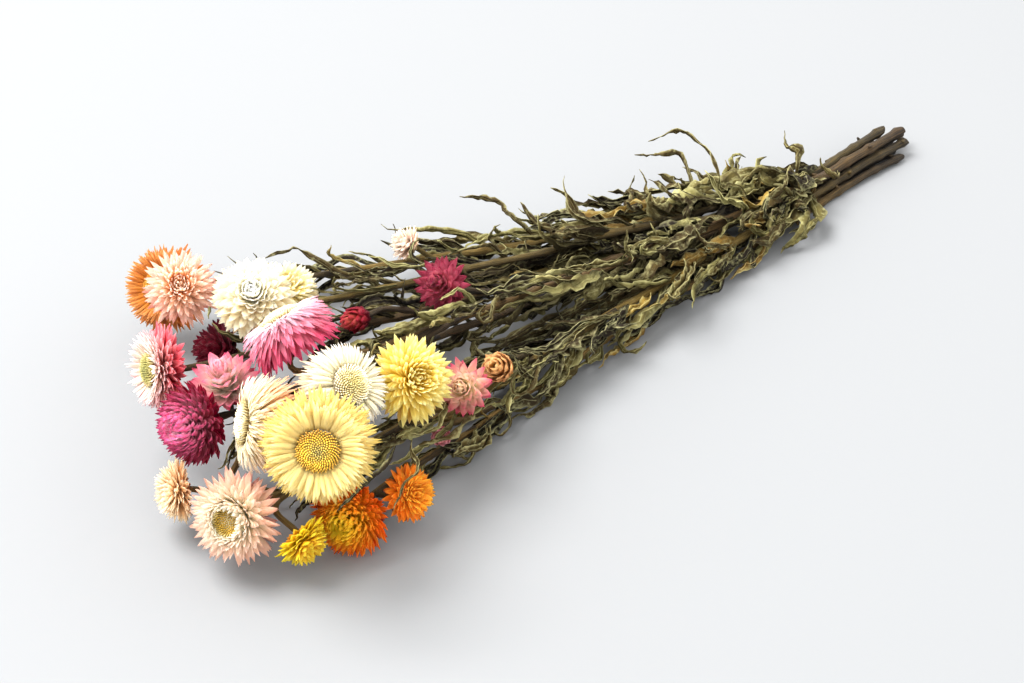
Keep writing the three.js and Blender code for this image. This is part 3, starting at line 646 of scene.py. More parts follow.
def vary(tree, base, tone, values):
    """Makes a colour darker or brighter, by a tone from 0 to 1."""
    inputs = {"Color": base, "Value": remap(tree, tone, (0, 1), values)}
    return add_node(tree, "ShaderNodeHueSaturation", inputs).outputs["Color"]


def patches(tree, at, scale, detail, roughness=0.5):
    inputs = {"Vector": at, "Scale": scale, "Detail": detail, "Roughness": roughness}
    return add_node(tree, "ShaderNodeTexNoise", inputs).outputs["Fac"]


def fine_lines(tree, ways, stretch, scale, detail, roughness):
    """Patches drawn out into lines, by stretching the place that they are read at."""
    stretched = {axis: times(tree, way, by) for axis, (way, by) in enumerate(zip(ways, stretch))}
    at = add_node(tree, "ShaderNodeCombineXYZ", stretched).outputs[0]
    return patches(tree, at, scale, detail, roughness)


def ramp(tree, factor, stops):
    """A colour ramp of (place, colour) stops."""
    made = add_node(tree, "ShaderNodeValToRGB", {"Fac": factor})
    elements = made.color_ramp.elements
    while len(elements) < len(stops):
        elements.new(1.0)
    for element, (at, rgb) in zip(elements, stops):
        element.position = at
        element.color = opaque(rgb)
    return made.outputs["Color"]


def value_of(tree, name):
    """The number of a vertex attribute."""
    return add_node(tree, "ShaderNodeAttribute", attribute_name=name).outputs["Fac"]


def parts_of(tree, name):
    """The three numbers of a vertex attribute."""
    read = add_node(tree, "ShaderNodeAttribute", attribute_name=name).outputs["Vector"]
    return add_node(tree, "ShaderNodeSeparateXYZ", {0: read}).outputs


def new_group(name, inputs, outputs):
    """A shader node group with named sockets. Gives the group, its tree's inputs and its output node."""
    tree = bpy.data.node_groups.new(name, "ShaderNodeTree")
    for socket, kind in inputs.items():
        tree.interface.new_socket(socket, in_out="INPUT", socket_type=kind)
    for socket, kind in outputs.items():
        tree.interface.new_socket(socket, in_out="OUTPUT", socket_type=kind)
    entry = tree.nodes.new("NodeGroupInput")
    leaving = tree.nodes.new("NodeGroupOutput")
    return tree, entry.outputs, leaving


def use_group(tree, name, build, inputs):
    """Places a group, which is built the first time that it is used, and gives its outputs."""
    group = bpy.data.node_groups.get(name) or build(name)
    return add_node(tree, "ShaderNodeGroup", inputs, node_tree=group).outputs


def build_papery(name):
    """Colours that run from a bract's root to its tip and from the inner bracts to the outer, in streaks."""
    tree, entry, leaving = new_group(name, {**dict.fromkeys(BRACT_PLACES, COLOUR), "Streaks": NUMBER},
                                     {"Color": COLOUR, "Roughness": NUMBER, "Height": NUMBER})
    across_it, along_it, ring = parts_of(tree, "bract")
    tone = value_of(tree, "tone")
    to_tip = remap(tree, along_it, (0.3, 1), (0, 1))
    inner = blend(tree, to_tip, entry["Inner Root"], entry["Inner Tip"])
    outer = blend(tree, to_tip, entry["Outer Root"], entry["Outer Tip"])
    own_ring = sum_up(tree, "ADD", ring, remap(tree, tone, (0, 1), (-0.14, 0.14)), clamp=True)
    open_side = blend(tree, own_ring, inner, outer)
    plain = blend(tree, remap(tree, ring, (1, 1.15), (0, 1)), open_side, entry["Under"])
    lines = fine_lines(tree, (across_it, along_it, tone), (5, 1.1, 90), scale=2.6, detail=3, roughness=0.6)
    pale = times(tree, remap(tree, lines, (0.5, 0.75), (0, 1)), entry["Streaks"])
    dark = times(tree, remap(tree, lines, (0.46, 0.28), (0, 1)), entry["Streaks"])
    shaded = darken(tree, dark, blend(tree, pale, plain, opaque(PALE_STREAK)), DARK_STREAK)
    tree.links.new(vary(tree, shaded, tone, (0.9, 1.06)), leaving.inputs["Color"])
    tree.links.new(remap(tree, lines, (0.3, 0.7), (0.52, 0.36)), leaving.inputs["Roughness"])
    tree.links.new(lines, leaving.inputs["Height"])
    return tree


def build_mottled(name):
    """A colour made uneven in two sizes of patch, as dried things are."""
    tree, entry, leaving = new_group(name, {"Color": COLOUR, "Dark": COLOUR, "Pale": COLOUR, "Scale": NUMBER},
                                     {"Color": COLOUR, "Height": NUMBER})
    at = add_node(tree, "ShaderNodeTexCoord").outputs["Object"]
    coarse = patches(tree, at, entry["Scale"], detail=4, roughness=0.62)
    finer = patches(tree, at, times(tree, entry["Scale"], 2.3), detail=5)
    darker = blend(tree, remap(tree, coarse, (0.52, 0.3), (0, 1), smooth=True), entry["Color"], entry["Dark"])
    paler = blend(tree, remap(tree, finer, (0.45, 0.8), (0, 1), smooth=True), darker, entry["Pale"])
    tree.links.new(paler, leaving.inputs["Color"])
    tree.links.new(sum_up(tree, "ADD", coarse, finer), leaving.inputs["Height"])
    return tree


def mottle(tree, base, dark, pale, scale):
    inputs = {"Color": base, "Dark": dark, "Pale": pale, "Scale": scale}
    return use_group(tree, "Dry mottling", build_mottled, inputs)


def paint_deep_shade(tree, base, depths, most, shade):
    """Paints shade on what lies deep in the bunch, where little light reaches."""
    return darken(tree, remap(tree, value_of(tree, "outside"), depths, (0, most)), base, shade)


def new_material(name):
    """A material with an empty tree but for its output."""
    material = bpy.data.materials.new(name)
    material.use_nodes = True
    tree = material.node_tree
    tree.nodes.clear()
    return material, tree, tree.nodes.new("ShaderNodeOutputMaterial")


def bump(tree, height, strength, distance):
    inputs = {"Height": height, "Strength": strength, "Distance": distance}
    return add_node(tree, "ShaderNodeBump", inputs).outputs["Normal"]


def principled(tree, inputs):
    return add_node(tree, "ShaderNodeBsdfPrincipled", inputs).outputs[0]


def let_light_through(tree, output, surface, colour_socket, normal, amount):
    """Mixes a surface with light that comes through its two faces, and ends the material."""
    each_face = add_node(tree, "ShaderNodeGamma", {"Color": colour_socket, "Gamma": 0.5}).outputs[0]
    through = add_node(tree, "ShaderNodeBsdfTranslucent", {"Color": each_face, "Normal": normal})
    mixed = add_node(tree, "ShaderNodeMixShader", {0: amount, 1: surface, 2: through.outputs[0]})
    tree.links.new(mixed.outputs[0], output.inputs["Surface"])


def papery_material(name, codes, settings):
    material, tree, output = new_material(f"Papery bracts {name}")
    places = {where: opaque(rgb) for where, rgb in zip(BRACT_PLACES, codes)}
    papery = use_group(tree, "Papery bract", build_papery, {**places, "Streaks": settings.streaks})
    normal = bump(tree, papery["Height"], strength=0.35, distance=0.0004)
    surface = principled(tree, {
        "Base Color": papery["Color"], "Roughness": papery["Roughness"], "Normal": normal,
        "Specular IOR Level": 0.3, "Sheen Weight": 0.08, "Sheen Roughness": 0.4})
    let_light_through(tree, output, surface, papery["Color"], normal, settings.glow)
    return material


def floret_material(name, codes):
    """Colours in rings from a disc's middle to its rim, with painted shade low down between the florets, so
    that their tips are paler.
    """
    material, tree, output = new_material(f"Florets {name}")
    from_middle, up_floret, tone = parts_of(tree, "floret")
    middle, half_way, rim = codes
    uneven = sum_up(tree, "ADD", from_middle, remap(tree, tone, (0, 1), (-0.1, 0.1)))
    rings = ramp(tree, uneven, [
        (0.0, middle), (0.4, mix_rgb(middle, half_way, 0.6)), (0.68, half_way), (0.94, rim)])
    # Painted shade low down between the florets.
    shaded = darken(tree, remap(tree, up_floret, (0.1, 0.8), (0.3, 0)), rings, PAINTED_SHADE_BETWEEN_FLORETS)
    toned = vary(tree, shaded, tone, (0.78, 1.2))
    tree.links.new(principled(tree, {"Base Color": toned, "Roughness": 0.8}), output.inputs["Surface"])
    return material


def stem_material(settings):
    """Ribbed, dry stems: streaks along them, and a hue of their own from olive to brown."""
    material, tree, output = new_material("Ribbed dry stem")
    grain = parts_of(tree, "grain")
    lines = fine_lines(tree, grain, (4.5, 4.5, 3), scale=1.6, detail=4, roughness=0.65)
    uneven = remap(tree, lines, (0.3, 0.7), (-0.45, 0.45))
    hue = sum_up(tree, "ADD", value_of(tree, "tone"), uneven, clamp=True)
    base = blend(tree, hue, opaque(settings.olive), opaque(settings.brown))
    mottled = mottle(tree, base, *map(paint, STEM_PATCHES), scale=90)
    patched = blend(tree, 0.3, base, mottled["Color"])
    streaked = darken(tree, remap(tree, lines, (0.56, 0.34), (0, 1)), patched, STEM_STREAK)
    near_cut = remap(tree, grain[2], (0.2, 2.2), (1, 0))
    worn = times(tree, near_cut, remap(tree, lines, (0.42, 0.6), (1, 0.72)))
    weathered = darken(tree, worn, streaked, STEM_WORN)
    # Painted shade on the parts of the stems that lie deep in the bunch, where little light reaches.
    deep_shade_painted = paint_deep_shade(tree, weathered, (0.68, 0.2), 0.88, STEM_PAINTED_SHADE)
    normal = bump(tree, lines, strength=0.9, distance=0.0012)
    surface = principled(tree, {"Base Color": deep_shade_painted, "Roughness": 0.68, "Normal": normal})
    tree.links.new(surface, output.inputs["Surface"])
    return material


def pith_material(settings):
    material, tree, output = new_material("Pith")
    mottled = mottle(tree, opaque(settings.pith), *map(paint, PITH_PATCHES), scale=500)
    surface = principled(tree, {"Base Color": mottled["Color"], "Roughness": 0.9})
    tree.links.new(surface, output.inputs["Surface"])
    return material


def leaf_material():
    """Dry leaves: mottled olive and khaki with a paler midrib, painted shade in the hollows of their
    crinkles, a painted highlight on their ridges, and painted shade deep in the bunch.
    """
    material, tree, output = new_material("Dry leaf")
    across_it, along_it, tone = parts_of(tree, "blade")
    relief = value_of(tree, "relief")
    plain = ramp(tree, tone, [(at, linear(code)) for at, code in LEAF_TONES])
    dark = darken(tree, 0.7, plain, LEAF_DARK_AND_CREASE_SHADE)
    pale = blend(tree, 0.58, plain, paint(LEAF_PALE_AND_HIGHLIGHT))
    mottled = mottle(tree, plain, dark, pale, scale=190)
    from_midrib = sum_up(tree, "ABSOLUTE", across_it)
    midrib = remap(tree, from_midrib, (0.13, 0.03), (0, 0.5), smooth=True)
    ribbed = blend(tree, midrib, mottled["Color"], pale)
    veins = fine_lines(tree, (across_it, along_it, tone), (3.4, 2, 60), scale=3.2, detail=4, roughness=0.6)
    lined = blend(tree, remap(tree, veins, (0.5, 0.3), (0, 0.75)), ribbed, dark)
    # Painted shade in the hollows of the crumples, and a painted highlight on their ridges, both read from
    # the blade's relief.
    crease_shade_painted = blend(tree, remap(tree, relief, (0.1, -0.5), (0, 1)), lined, dark)
    raised = blend(tree, remap(tree, relief, (0.15, 0.9), (0, 0.85)), crease_shade_painted, pale)
    edged = blend(tree, remap(tree, from_midrib, (0.8, 1), (0, 0.3)), raised, pale)
    # Painted shade on the parts of the leaves that lie deep in the bunch, where little light reaches.
    deep_shade_painted = paint_deep_shade(tree, edged, (0.76, 0.25), 0.92, LEAF_PAINTED_SHADE)
    height = sum_up(tree, "ADD", times(tree, mottled["Height"], 0.5), veins)
    normal = bump(tree, height, strength=0.7, distance=0.0012)
    surface = principled(tree, {
        "Base Color": deep_shade_painted, "Roughness": 0.72, "Normal": normal, "Specular IOR Level": 0.3})
    let_light_through(tree, output, surface, deep_shade_painted, normal, 0.15)
    return material


# ---- Papery bracts ----
SEED_BRACTS = 400
GOLDEN_ANGLE = math.pi * (3 - math.sqrt(5))
BRACT_ACROSS = 2
BRACT_ALONG = 5
# The rings of scales under a head: how far past the outermost ring each is, and its length beside that one's.
SCALE_RINGS = ((1.06, 0.86), (1.15, 0.62), (1.26, 0.36))
# How single bracts differ. The first four count as far as their form is wild.
LEANS_VARY = 18  # degrees
CURLS_VARY = 22
SHORTENS = 0.2  # of its ring's length
TWISTS = 1.2  # radians
LONGEST = 1.05  # of its ring's length
TURNS_ROUND = 0.16  # radians
BENDS_ASIDE = 0.16  # of its own length
CUPS_VARY = (0.6, 1.35)
HOOKS_VARY = (0.5, 1.4)
HOOK_FROM = 0.55  # a bract hooks in from this share of its length on
HOOK_LENGTH = 0.45
HOOK_DRAWS = 0.5  # how far the hook draws its tip in
# The waves of a bract's surface, beside half its width, and how fast they follow along it and across it.
RIPPLE = 0.12
RIPPLES_ALONG = 7
RIPPLES_ACROSS = 2
# A bract's outline: its root beside its widest, where its shoulder is and how round, how late and how round
# its tip narrows where it is pointed and where it is blunt, and what is left at the tip.
ROOT_WIDTH = 0.65
SHOULDER_AT = 0.4
SHOULDER_ROUND = 0.8
TIP_LATE = (2.2, 4.6)
TIP_ROUND = (0.85, 0.5)
TIP_WIDTH = 0.05
STRAIGHT = 1e-3  # a bract that curls less than this, in radians, is taken to be straight
# The short bracts that stand in the middle: how the innermost lean, in degrees, and how short and narrow
# they all are.
TUFT_LEAN = -6
TUFT_LENGTHS = (0.5, 0.8)
TUFT_NARROWER = 0.8
CORE_SIDES = 16
CORE_AS_BRACT = (0, 0.05, 0.8)  # a head's solid core has the colour of the roots of its outer bracts
MIDDLE_TONE = 0.5

Ring = namedtuple("Ring", "radius height lean length curl")


def ring_of(form, t, radius):
    """A ring's root and its bracts, for t from 0, innermost, to 1, outermost. Angles are in radians."""
    return Ring(
        radius * mix(form.disc, form.base, t),
        -radius * form.depth * t,
        math.radians(mix(*form.lean, t)),
        radius * mix(*form.length, min(t, 1)),
        math.radians(mix(*form.curl, t)),
    )


def along_bract(ring, share_along, lean, reach, curl):
    """How far out and up a bract has come at a share of its length, and its lean there."""
    start = lean + curl / 2
    now = start - curl * share_along
    if abs(curl) < STRAIGHT:
        return (ring.radius + reach * share_along * math.sin(lean),
                ring.height + reach * share_along * math.cos(lean), now)
    return (ring.radius + reach * (math.cos(now) - math.cos(start)) / curl,
            ring.height + reach * (math.sin(start) - math.sin(now)) / curl, now)


def bract_outline(t, blunt):
    """A bract's half width at a share t of its length: from its root to a shoulder, and on to its tip."""
    shoulder = mix(ROOT_WIDTH, 1, min(1, t / SHOULDER_AT) ** SHOULDER_ROUND)
    narrows = max(1 - t ** mix(*TIP_LATE, blunt), 0) ** mix(*TIP_ROUND, blunt)
    return shoulder * narrows + TIP_WIDTH


def add_bract(bm, layers, form, ring, ring_share, angle, half, rng):
    """One papery bract, on a head that faces up from the origin."""
    lean = ring.lean + math.radians(LEANS_VARY * rng() - LEANS_VARY / 2) * form.wild
    reach = ring.length * mix(1 - SHORTENS * form.wild, LONGEST, rng())
    curl = ring.curl + math.radians(CURLS_VARY * rng() - CURLS_VARY / 2) * form.wild
    turn = angle + swing(rng, TURNS_ROUND)
    twist = swing(rng, TWISTS * form.wild)
    bend = swing(rng, BENDS_ASIDE)
    phase = any_angle(rng)
    tone = rng()
    cup = form.cup * mix(*CUPS_VARY, rng())
    hook = math.radians(form.hook) * mix(*HOOKS_VARY, rng())
    outward = Vector((math.cos(turn), math.sin(turn), 0))
    sideways = Vector((-math.sin(turn), math.cos(turn), 0))
    grid = bmesh.ops.create_grid(bm, x_segments=BRACT_ACROSS, y_segments=BRACT_ALONG, size=1)
    for vert in grid["verts"]:
        u, t = vert.co.x, (vert.co.y + 1) / 2
        out, up, now = along_bract(ring, t, lean, reach, curl)
        past = max(0, t - HOOK_FROM)
        hooked = hook * past / HOOK_LENGTH
        drawn = HOOK_DRAWS * reach * past * math.sin(hooked)
        out -= drawn * math.cos(now)
        up += drawn * math.sin(now)
        now -= hooked
        inner = UP * math.sin(now) - outward * math.cos(now)
        width = half * bract_outline(t, form.blunt)
        roll = twist * t
        flat = sideways * math.cos(roll) + inner * math.sin(roll)
        raised = inner * math.cos(roll) - sideways * math.sin(roll)
        ripple = RIPPLE * half * math.sin(RIPPLES_ALONG * t + phase + RIPPLES_ACROSS * u) * t
        rise = cup * width * u * u + ripple
        middle = outward * out + UP * up + sideways * (bend * reach * t * t)
        vert.co = middle + flat * (width * u) + raised * rise
        vert[layers["bract"]] = (u, t, ring_share)
        vert[layers["tone"]] = tone


def add_core(bm, layers, bloom, form, radius):
    """The solid head that the bracts grow from."""
    under = foot_depth(bloom)
    base, depth, disc = radius * form.base, radius * form.depth, radius * form.disc
    # How far out and up each ring of it is, from its flat foot to just under the disc.
    profile = [
        (0.6 * FOOT_RADIUS, -under),
        (FOOT_RADIUS, 0.3 - under),
        (0.8 * base, -1.12 * depth),
        (0.95 * base, -depth),
        (0.95 * mix(disc, base, 0.5), -0.5 * depth),
        (0.93 * disc, -0.6),
        (0.5 * disc, -0.3),
    ]
    side, front = Vector((1, 0, 0)), Vector((0, 1, 0))
    rings = [(UP * max(height, -under), side, front, lambda angle, r=r: r) for r, height in profile]
    placed, _ = lathe(bm, rings, CORE_SIDES)
    for row in placed:
        for vert, _ in row:
            vert[layers["bract"]] = CORE_AS_BRACT
            vert[layers["tone"]] = MIDDLE_TONE


def facing_matrix(bloom):
    """Takes a head that faces up from the origin, in millimetres, to its place in the frame."""
    turn = UP.rotation_difference(direction(bloom.faces)).to_matrix().to_4x4()
    return Matrix.Translation(place(bloom.at)) @ turn @ Matrix.Scale(MM, 4)


def bract_bloom(name, index):
    """The bracts of one bloom, ring by ring, and the head under them."""
    bloom = BLOOMS[name]
    form = FORMS[bloom.form]
    radius = bloom.width / 2
    rng = draws(SEED_BRACTS + index)
    bm, layers = new_mesh(bract="float_vector", tone="float")
    add_core(bm, layers, bloom, form, radius)
    for row in range(form.rows):
        t = row / (form.rows - 1)
        ring = ring_of(form, t, radius)
        count = round(mix(*form.count, t) * bloom.fineness)
        half = radius * mix(*form.half, t) / bloom.fineness
        start = any_angle(rng)
        for n in range(count):
            add_bract(bm, layers, form, ring, t, start + 2 * math.pi * n / count, half, rng)
    for past, shortened in SCALE_RINGS:
        ring = ring_of(form, past, radius)
        ring = ring._replace(length=ring.length * shortened, height=max(ring.height, 1 - foot_depth(bloom)))
        for n in range(form.count[1]):
            half = radius * form.half[1]
            add_bract(bm, layers, form, ring, past, 2 * math.pi * (n + 0.5) / form.count[1], half, rng)
    for n in range(form.tuft):
        share_out = math.sqrt((n + 0.5) / form.tuft)
        lean = math.radians(mix(TUFT_LEAN, form.lean[0], share_out))
        short = radius * form.length[0] * mix(*TUFT_LENGTHS, rng())
        ring = Ring(share_out * radius * form.disc, 0, lean, short, math.radians(form.curl[0]))
        add_bract(bm, layers, form, ring, 0, n * GOLDEN_ANGLE, radius * form.half[0] * TUFT_NARROWER, rng)
    bmesh.ops.transform(bm, matrix=facing_matrix(bloom), verts=bm.verts)
    keep_off_floor(bm)
    return bm


# ---- Florets ----
SEED_FLORETS = 500
FLORET_SPACING = 0.78
FLORETS_CROWD = 2.2  # how many stand on a disc, beside the square of its radius in those spacings
FLORET_SIDES = 5
FLORET_FOOT = 0.5  # its radius at its foot and at its tip
FLORET_TIP = 0.24
FLORET_HEIGHTS = (1.3, 2.1)  # in the middle and at the rim
HEIGHTS_VARY = (0.8, 1.2)
FLORET_SUNK = 0.6  # how deep its foot stands in the disc
FLORETS_LEAN = (0.5, 0.3)  # at the rim, in radians, and how much that varies
# How high the middle of a disc stands over its rim, as a share of its radius: a cushion's, and a shallow
# bowl's.
CUSHION = 0.34
BOWL = -0.1
BOWLS = ("peach_large",)


def floret_disc(name, index):
    """Small five-sided florets, spiralling over a low cushion or a shallow bowl."""
    bloom = BLOOMS[name]
    radius = bloom.width / 2 * FORMS[bloom.form].disc - DISC_GAP
    swell = (BOWL if name in BOWLS else CUSHION) * radius
    rng = draws(SEED_FLORETS + index)
    bm, layers = new_mesh(floret="float_vector")
    count = int((radius / FLORET_SPACING) ** 2 * FLORETS_CROWD)
    for n in range(count):
        share_out = math.sqrt((n + 0.5) / count)
        angle = n * GOLDEN_ANGLE
        rise = swell * (1 - share_out**2) + DISC_GAP
        tall = mix(*FLORET_HEIGHTS, share_out) * mix(*HEIGHTS_VARY, rng())
        tone = rng()
        at = Vector((share_out * radius * math.cos(angle), share_out * radius * math.sin(angle), rise))
        leaning = FLORETS_LEAN[0] * share_out + swing(rng, FLORETS_LEAN[1])
        lean = Quaternion((-math.sin(angle), math.cos(angle), 0), leaning).to_matrix().to_4x4()
        matrix = Matrix.Translation(at) @ lean @ Matrix.Translation(UP * (tall / 2 - FLORET_SUNK))
        cone = bmesh.ops.create_cone(bm, cap_ends=True, segments=FLORET_SIDES, radius1=FLORET_FOOT,
                                     radius2=FLORET_TIP, depth=tall, matrix=matrix)
        for vert in cone["verts"]:
            height = (vert.co - at).length / tall
            vert[layers["floret"]] = (share_out, min(height, 1) if vert.co.z > at.z else 0, tone)
    bmesh.ops.transform(bm, matrix=facing_matrix(bloom), verts=bm.verts)
    return bm


# ---- Stems ----
STEM_RING = 2  # between the rings of a stem's surface
JOINT_SPACING = 21  # between the joints of a stem, where its leaves grew
JOINT_SWELLS = 0.3  # how far a joint swells, as a share of the stem's radius
# From how far to how far from a stem's cut end the stubs of its lost leaves show.
STUBS_FROM = 3
STUBS_TO = 100
SLIMMER = (0.7, 0.9)  # a stem's thick end beside the model's, which has room for its ribs and swellings
INTO_HEAD = 3  # how far a stalk runs on into its bloom
SEEDS_TO_SKIN = 37  # from a branch's own seed to that of its skin
RIBS = 5
JOINTS_VARY = 0.5  # how far along its spacing a joint is drawn
JOINT_LENGTH = 2.2  # how far along the stem its swelling reaches
UNEVEN = (0.07, 17, 20)  # slow swellings of a stem: how high, how long, and how far their start is drawn
WANDERS = 0.45  # how far a stem wanders to each side of its route
WANDERS_FROM = 20  # a stem has its full wander from this far on
WANDER_LENGTHS = (11, 14)  # of its waves aside and up, for each radian
GRAIN_LENGTH = 60  # of stem to each step of its grain
CUT_SLOPES = (0.2, 0.9)  # of a slanted cut, from square across
RIND = 0.22  # round the pith of a cut end, as a share of the stem's radius
# What is left of a leaf's stalk: where round its stem, in radians, it shows, how far it leans along the
# stem, its length, its radius at its foot and at its tip, and where in the stem it starts, as a share of
# the stem's radius.
STUB_ROUND = (-0.6, 3.7)
STUB_LEANS = (0.3, 1.4)
STUB_LENGTHS = (1.6, 4.2)
STUB_FOOT = 1.3
STUB_TIPS = (0.35, 0.7)
STUB_SIDES = 6
STUB_DEPTH = 0.8


def frames_along(way, stations):
    """The two cross directions at some distances along a route, carried along it without turning."""
    side, _ = across(way.along(0))
    frames = []
    for s in stations:
        on = way.along(s)
        side = (side - on * side.dot(on)).normalized()
        frames.append((side.copy(), on.cross(side)))
    return frames


def add_stalk(bm, layers, branch, hue, settings, is_cut):
    """A tapering ribbed stalk, with swellings where leaves grow and a pale middle at its cut end."""
    way = branch.way
    rng = draws(branch.seed + SEEDS_TO_SKIN)
    end = way.length + INTO_HEAD
    steps = max(4, round(end / STEM_RING))
    stations = [end * i / steps for i in range(steps + 1)]
    ribs_at = any_angle(rng)
    uneven, uneven_length, uneven_start = UNEVEN
    uneven_start *= rng()
    slimmer = mix(*SLIMMER, rng())
    joints = [JOINT_SPACING * (n + JOINTS_VARY * rng()) for n in range(int(end / JOINT_SPACING))]
    rings = []
    for s, (side, up) in zip(stations, frames_along(way, stations)):
        radius = mix(slimmer * branch.thick, branch.thin, min(s / way.length, 1))
        nearest = min((abs(s - joint) for joint in joints), default=end)
        joint_swell = JOINT_SWELLS * math.exp(-(nearest / JOINT_LENGTH) ** 2)
        radius *= 1 + joint_swell + uneven * math.sin(s / uneven_length + uneven_start)

        def radius_at(angle, radius=radius):
            return radius * (1 - settings.ribs + settings.ribs * math.cos(RIBS * angle + ribs_at))

        wander = min(s / WANDERS_FROM, 1) * WANDERS
        aside = wander * math.sin(s / WANDER_LENGTHS[0] + ribs_at)
        middle = way.point(s) + side * aside + up * (wander * math.sin(s / WANDER_LENGTHS[1]))
        rings.append((middle, side, up, radius_at))
    placed, start = lathe(bm, rings, settings.sides)
    for s, row in zip(stations, placed):
        for vert, angle in row:
            vert[layers["grain"]] = (math.cos(angle), math.sin(angle), s / GRAIN_LENGTH)
            vert[layers["tone"]] = hue
            # How deep in the bunch each corner lies; the stem material paints shade from this.
            vert[layers["outside"]] = depth_in_bunch(vert.co)
    if is_cut:
        slope = mix(*CUT_SLOPES, rng())
        towards = any_angle(rng)
        for vert, angle in placed[0]:
            vert.co += way.along(0) * (slope * branch.thick * math.cos(angle - towards))
        for edge in start.edges:
            edge.smooth = False
        bmesh.ops.inset_individual(bm, faces=[start], thickness=RIND * branch.thick, depth=0)
        start.material_index = 1
        for joint in (joint for joint in joints if STUBS_FROM < joint < STUBS_TO):
            add_stub(bm, layers, way, joint, slimmer * branch.thick, hue, rng)


def add_stub(bm, layers, way, joint, radius, hue, rng):
    """What is left of a leaf's stalk where it broke off a stem."""
    side, up = across(way.along(joint))
    around = mix(*STUB_ROUND, rng())
    out = side * math.cos(around) + up * math.sin(around)
    leaning = (out + way.along(joint) * mix(*STUB_LEANS, rng())).normalized()
    tall = mix(*STUB_LENGTHS, rng())
    turned = UP.rotation_difference(leaning).to_matrix().to_4x4()
    foot = Matrix.Translation(way.point(joint) + out * (STUB_DEPTH * radius))
    cone = bmesh.ops.create_cone(bm, cap_ends=True, segments=STUB_SIDES, radius1=STUB_FOOT,
                                 radius2=mix(*STUB_TIPS, rng()), depth=tall,
                                 matrix=foot @ turned @ Matrix.Translation(UP * (tall / 2)))
    for vert in cone["verts"]:
        vert[layers["grain"]] = (math.cos(around), math.sin(around), joint / GRAIN_LENGTH)
        vert[layers["tone"]] = hue
        # A stub gets no painted shade.
        vert[layers["outside"]] = 1


def into_frame(bm):
    """Takes a mesh in the bunch's own places to the frame, and lifts what would lie in the floor."""
    bmesh.ops.transform(bm, matrix=Matrix.Scale(MM, 4) @ Matrix.Translation(-MIDDLE), verts=bm.verts)
    keep_off_floor(bm)


def grow_stem(index, settings):
    """One leafy stem and the stalks that fork off it, without their leaves."""
    stem = STEMS[index]
    bm, layers = new_mesh(grain="float_vector", tone="float", outside="float")
    for number, branch in enumerate(branches_of(index)):
        add_stalk(bm, layers, branch, stem.hue, settings, is_cut=number == 0)
    into_frame(bm)
    bmesh.ops.recalc_face_normals(bm, faces=bm.faces)
    return bm


# ---- Leaves ----
SEED_BLADES = 700
LEAF_ACROSS = 4
LEAF_ALONG = 22
TIP_MATCH = 0.00005  # how near, in metres, a leaf's tip is to a corner of the model's where the model grew it
# How the bunch widens from its neck to its heads: half its width, and half its height.
HALF_WIDTHS = (15, 80)
HALF_HEIGHTS = (15, 34)

# A blade's outline: its foot beside its widest, how fast it widens, what is added to its half width, and how
# that varies.
LEAF_FOOT = 0.2
LEAF_WIDENS = 3.2
LEAF_EDGE = 0.12
WIDTH_VARIES = 0.3
WIDTH_WAVES = 9
# How a blade is made uneven. Each pair is the least and the most that is drawn.
PLEATS = (0.3, 1.0)  # how deep the folds along it are, and how fast they come and go
PLEATS_CHANGE = (2, 7)
PLEATS_NARROW = 0.3
PLEATS_RISE = 0.6
CURLS_ACROSS = (0.5, 2.0)  # from its middle to an edge, in radians
CURLS_UP = 0.78  # the share of blades whose edges curl up
CURL_VARIES = 0.5
CURL_WAVES = 5
EDGE_WAVES = (1.5, 5.5)
WAVES_BETWEEN = 1.9  # from one edge's waves to the other's, in radians
RUFFLE = 0.34
RUFFLE_RISES = 1.5  # the power by which ruffles grow from a blade's middle to its edges
WHOLE_WIDTH = 7  # a blade that is narrower crumples less
CRUMPLES = ((0.13, 3.4), (0.42, 2.3))  # two sizes of crumple: how close together they are, and how deep
TONES_APART = 40  # how far apart two blades' crumples are drawn
SHARP_CREASE = 0.1  # an edge is smooth where it crosses the blade by more than this, or lies near its side
NEAR_SIDE = 0.9

# How bleached a leaf is, from 0 to 1. It changes along +X, towards the cut ends, from the first of these on
# and over the length of the second.
TONES_FROM = -120
TONES_OVER = 280
ARE_PALE = (0.03, 0.1)  # the share that has bleached, near the blooms and near the cut ends
PALE_TONES = (0.86, 1.0)  # of those, at least and at most
USUAL_TONES = (0.4, 0.5)  # of the others, near the blooms and near the cut ends
TONES_VARY = 0.6
# A leaf is painted paler the higher it lies, as painted light from above, and darker near the surface, as
# painted shade.
PAINTED_LIGHT_ON_TOP = 0.3  # than a leaf at the surface is one that lies this high or higher
TOP_AT = 45
MOST_USUAL = 0.82

# Thin leaves beside each of the model's: how many of their number grow near the blooms and near the cut ends,
# how far their feet are shifted, and how far those stay from the branch's two ends.
BESIDE = (0.35, 1.1)
BESIDE_SHIFT = 34
BESIDE_FIRST = 30
BESIDE_STOPS = 24
# Their sizes beside those of the model's leaf: the least, and the most near the blooms and near the cut ends.
BESIDE_LENGTH = (0.5, (1.3, 0.95))
BESIDE_WIDTH = (0.4, (0.75, 1.0))
# How far they stand off beside that leaf, at least and at most, and how much the way that they lie varies.
BESIDE_SPREAD = (0.2, 1.1)
BESIDE_ROUND = 3.4
BESIDE_TURN = 2.4
BESIDE_WAVE = 1.2
BESIDE_TWIST = 5
# How many tips have curled, and how far at most, in degrees: of the model's leaves, and of those beside them.
TIP_CURLS = ((0.6, 50), (0.4, 220))
CURL_RISES = 0.25  # how much more they curl up than aside

# How a stray leaf lies, as the model's does, and how bleached it is.
STRAY_ROLL = 0.8
STRAY_TWIST = 1.3
STRAY_TONES = (0.2, 0.5)
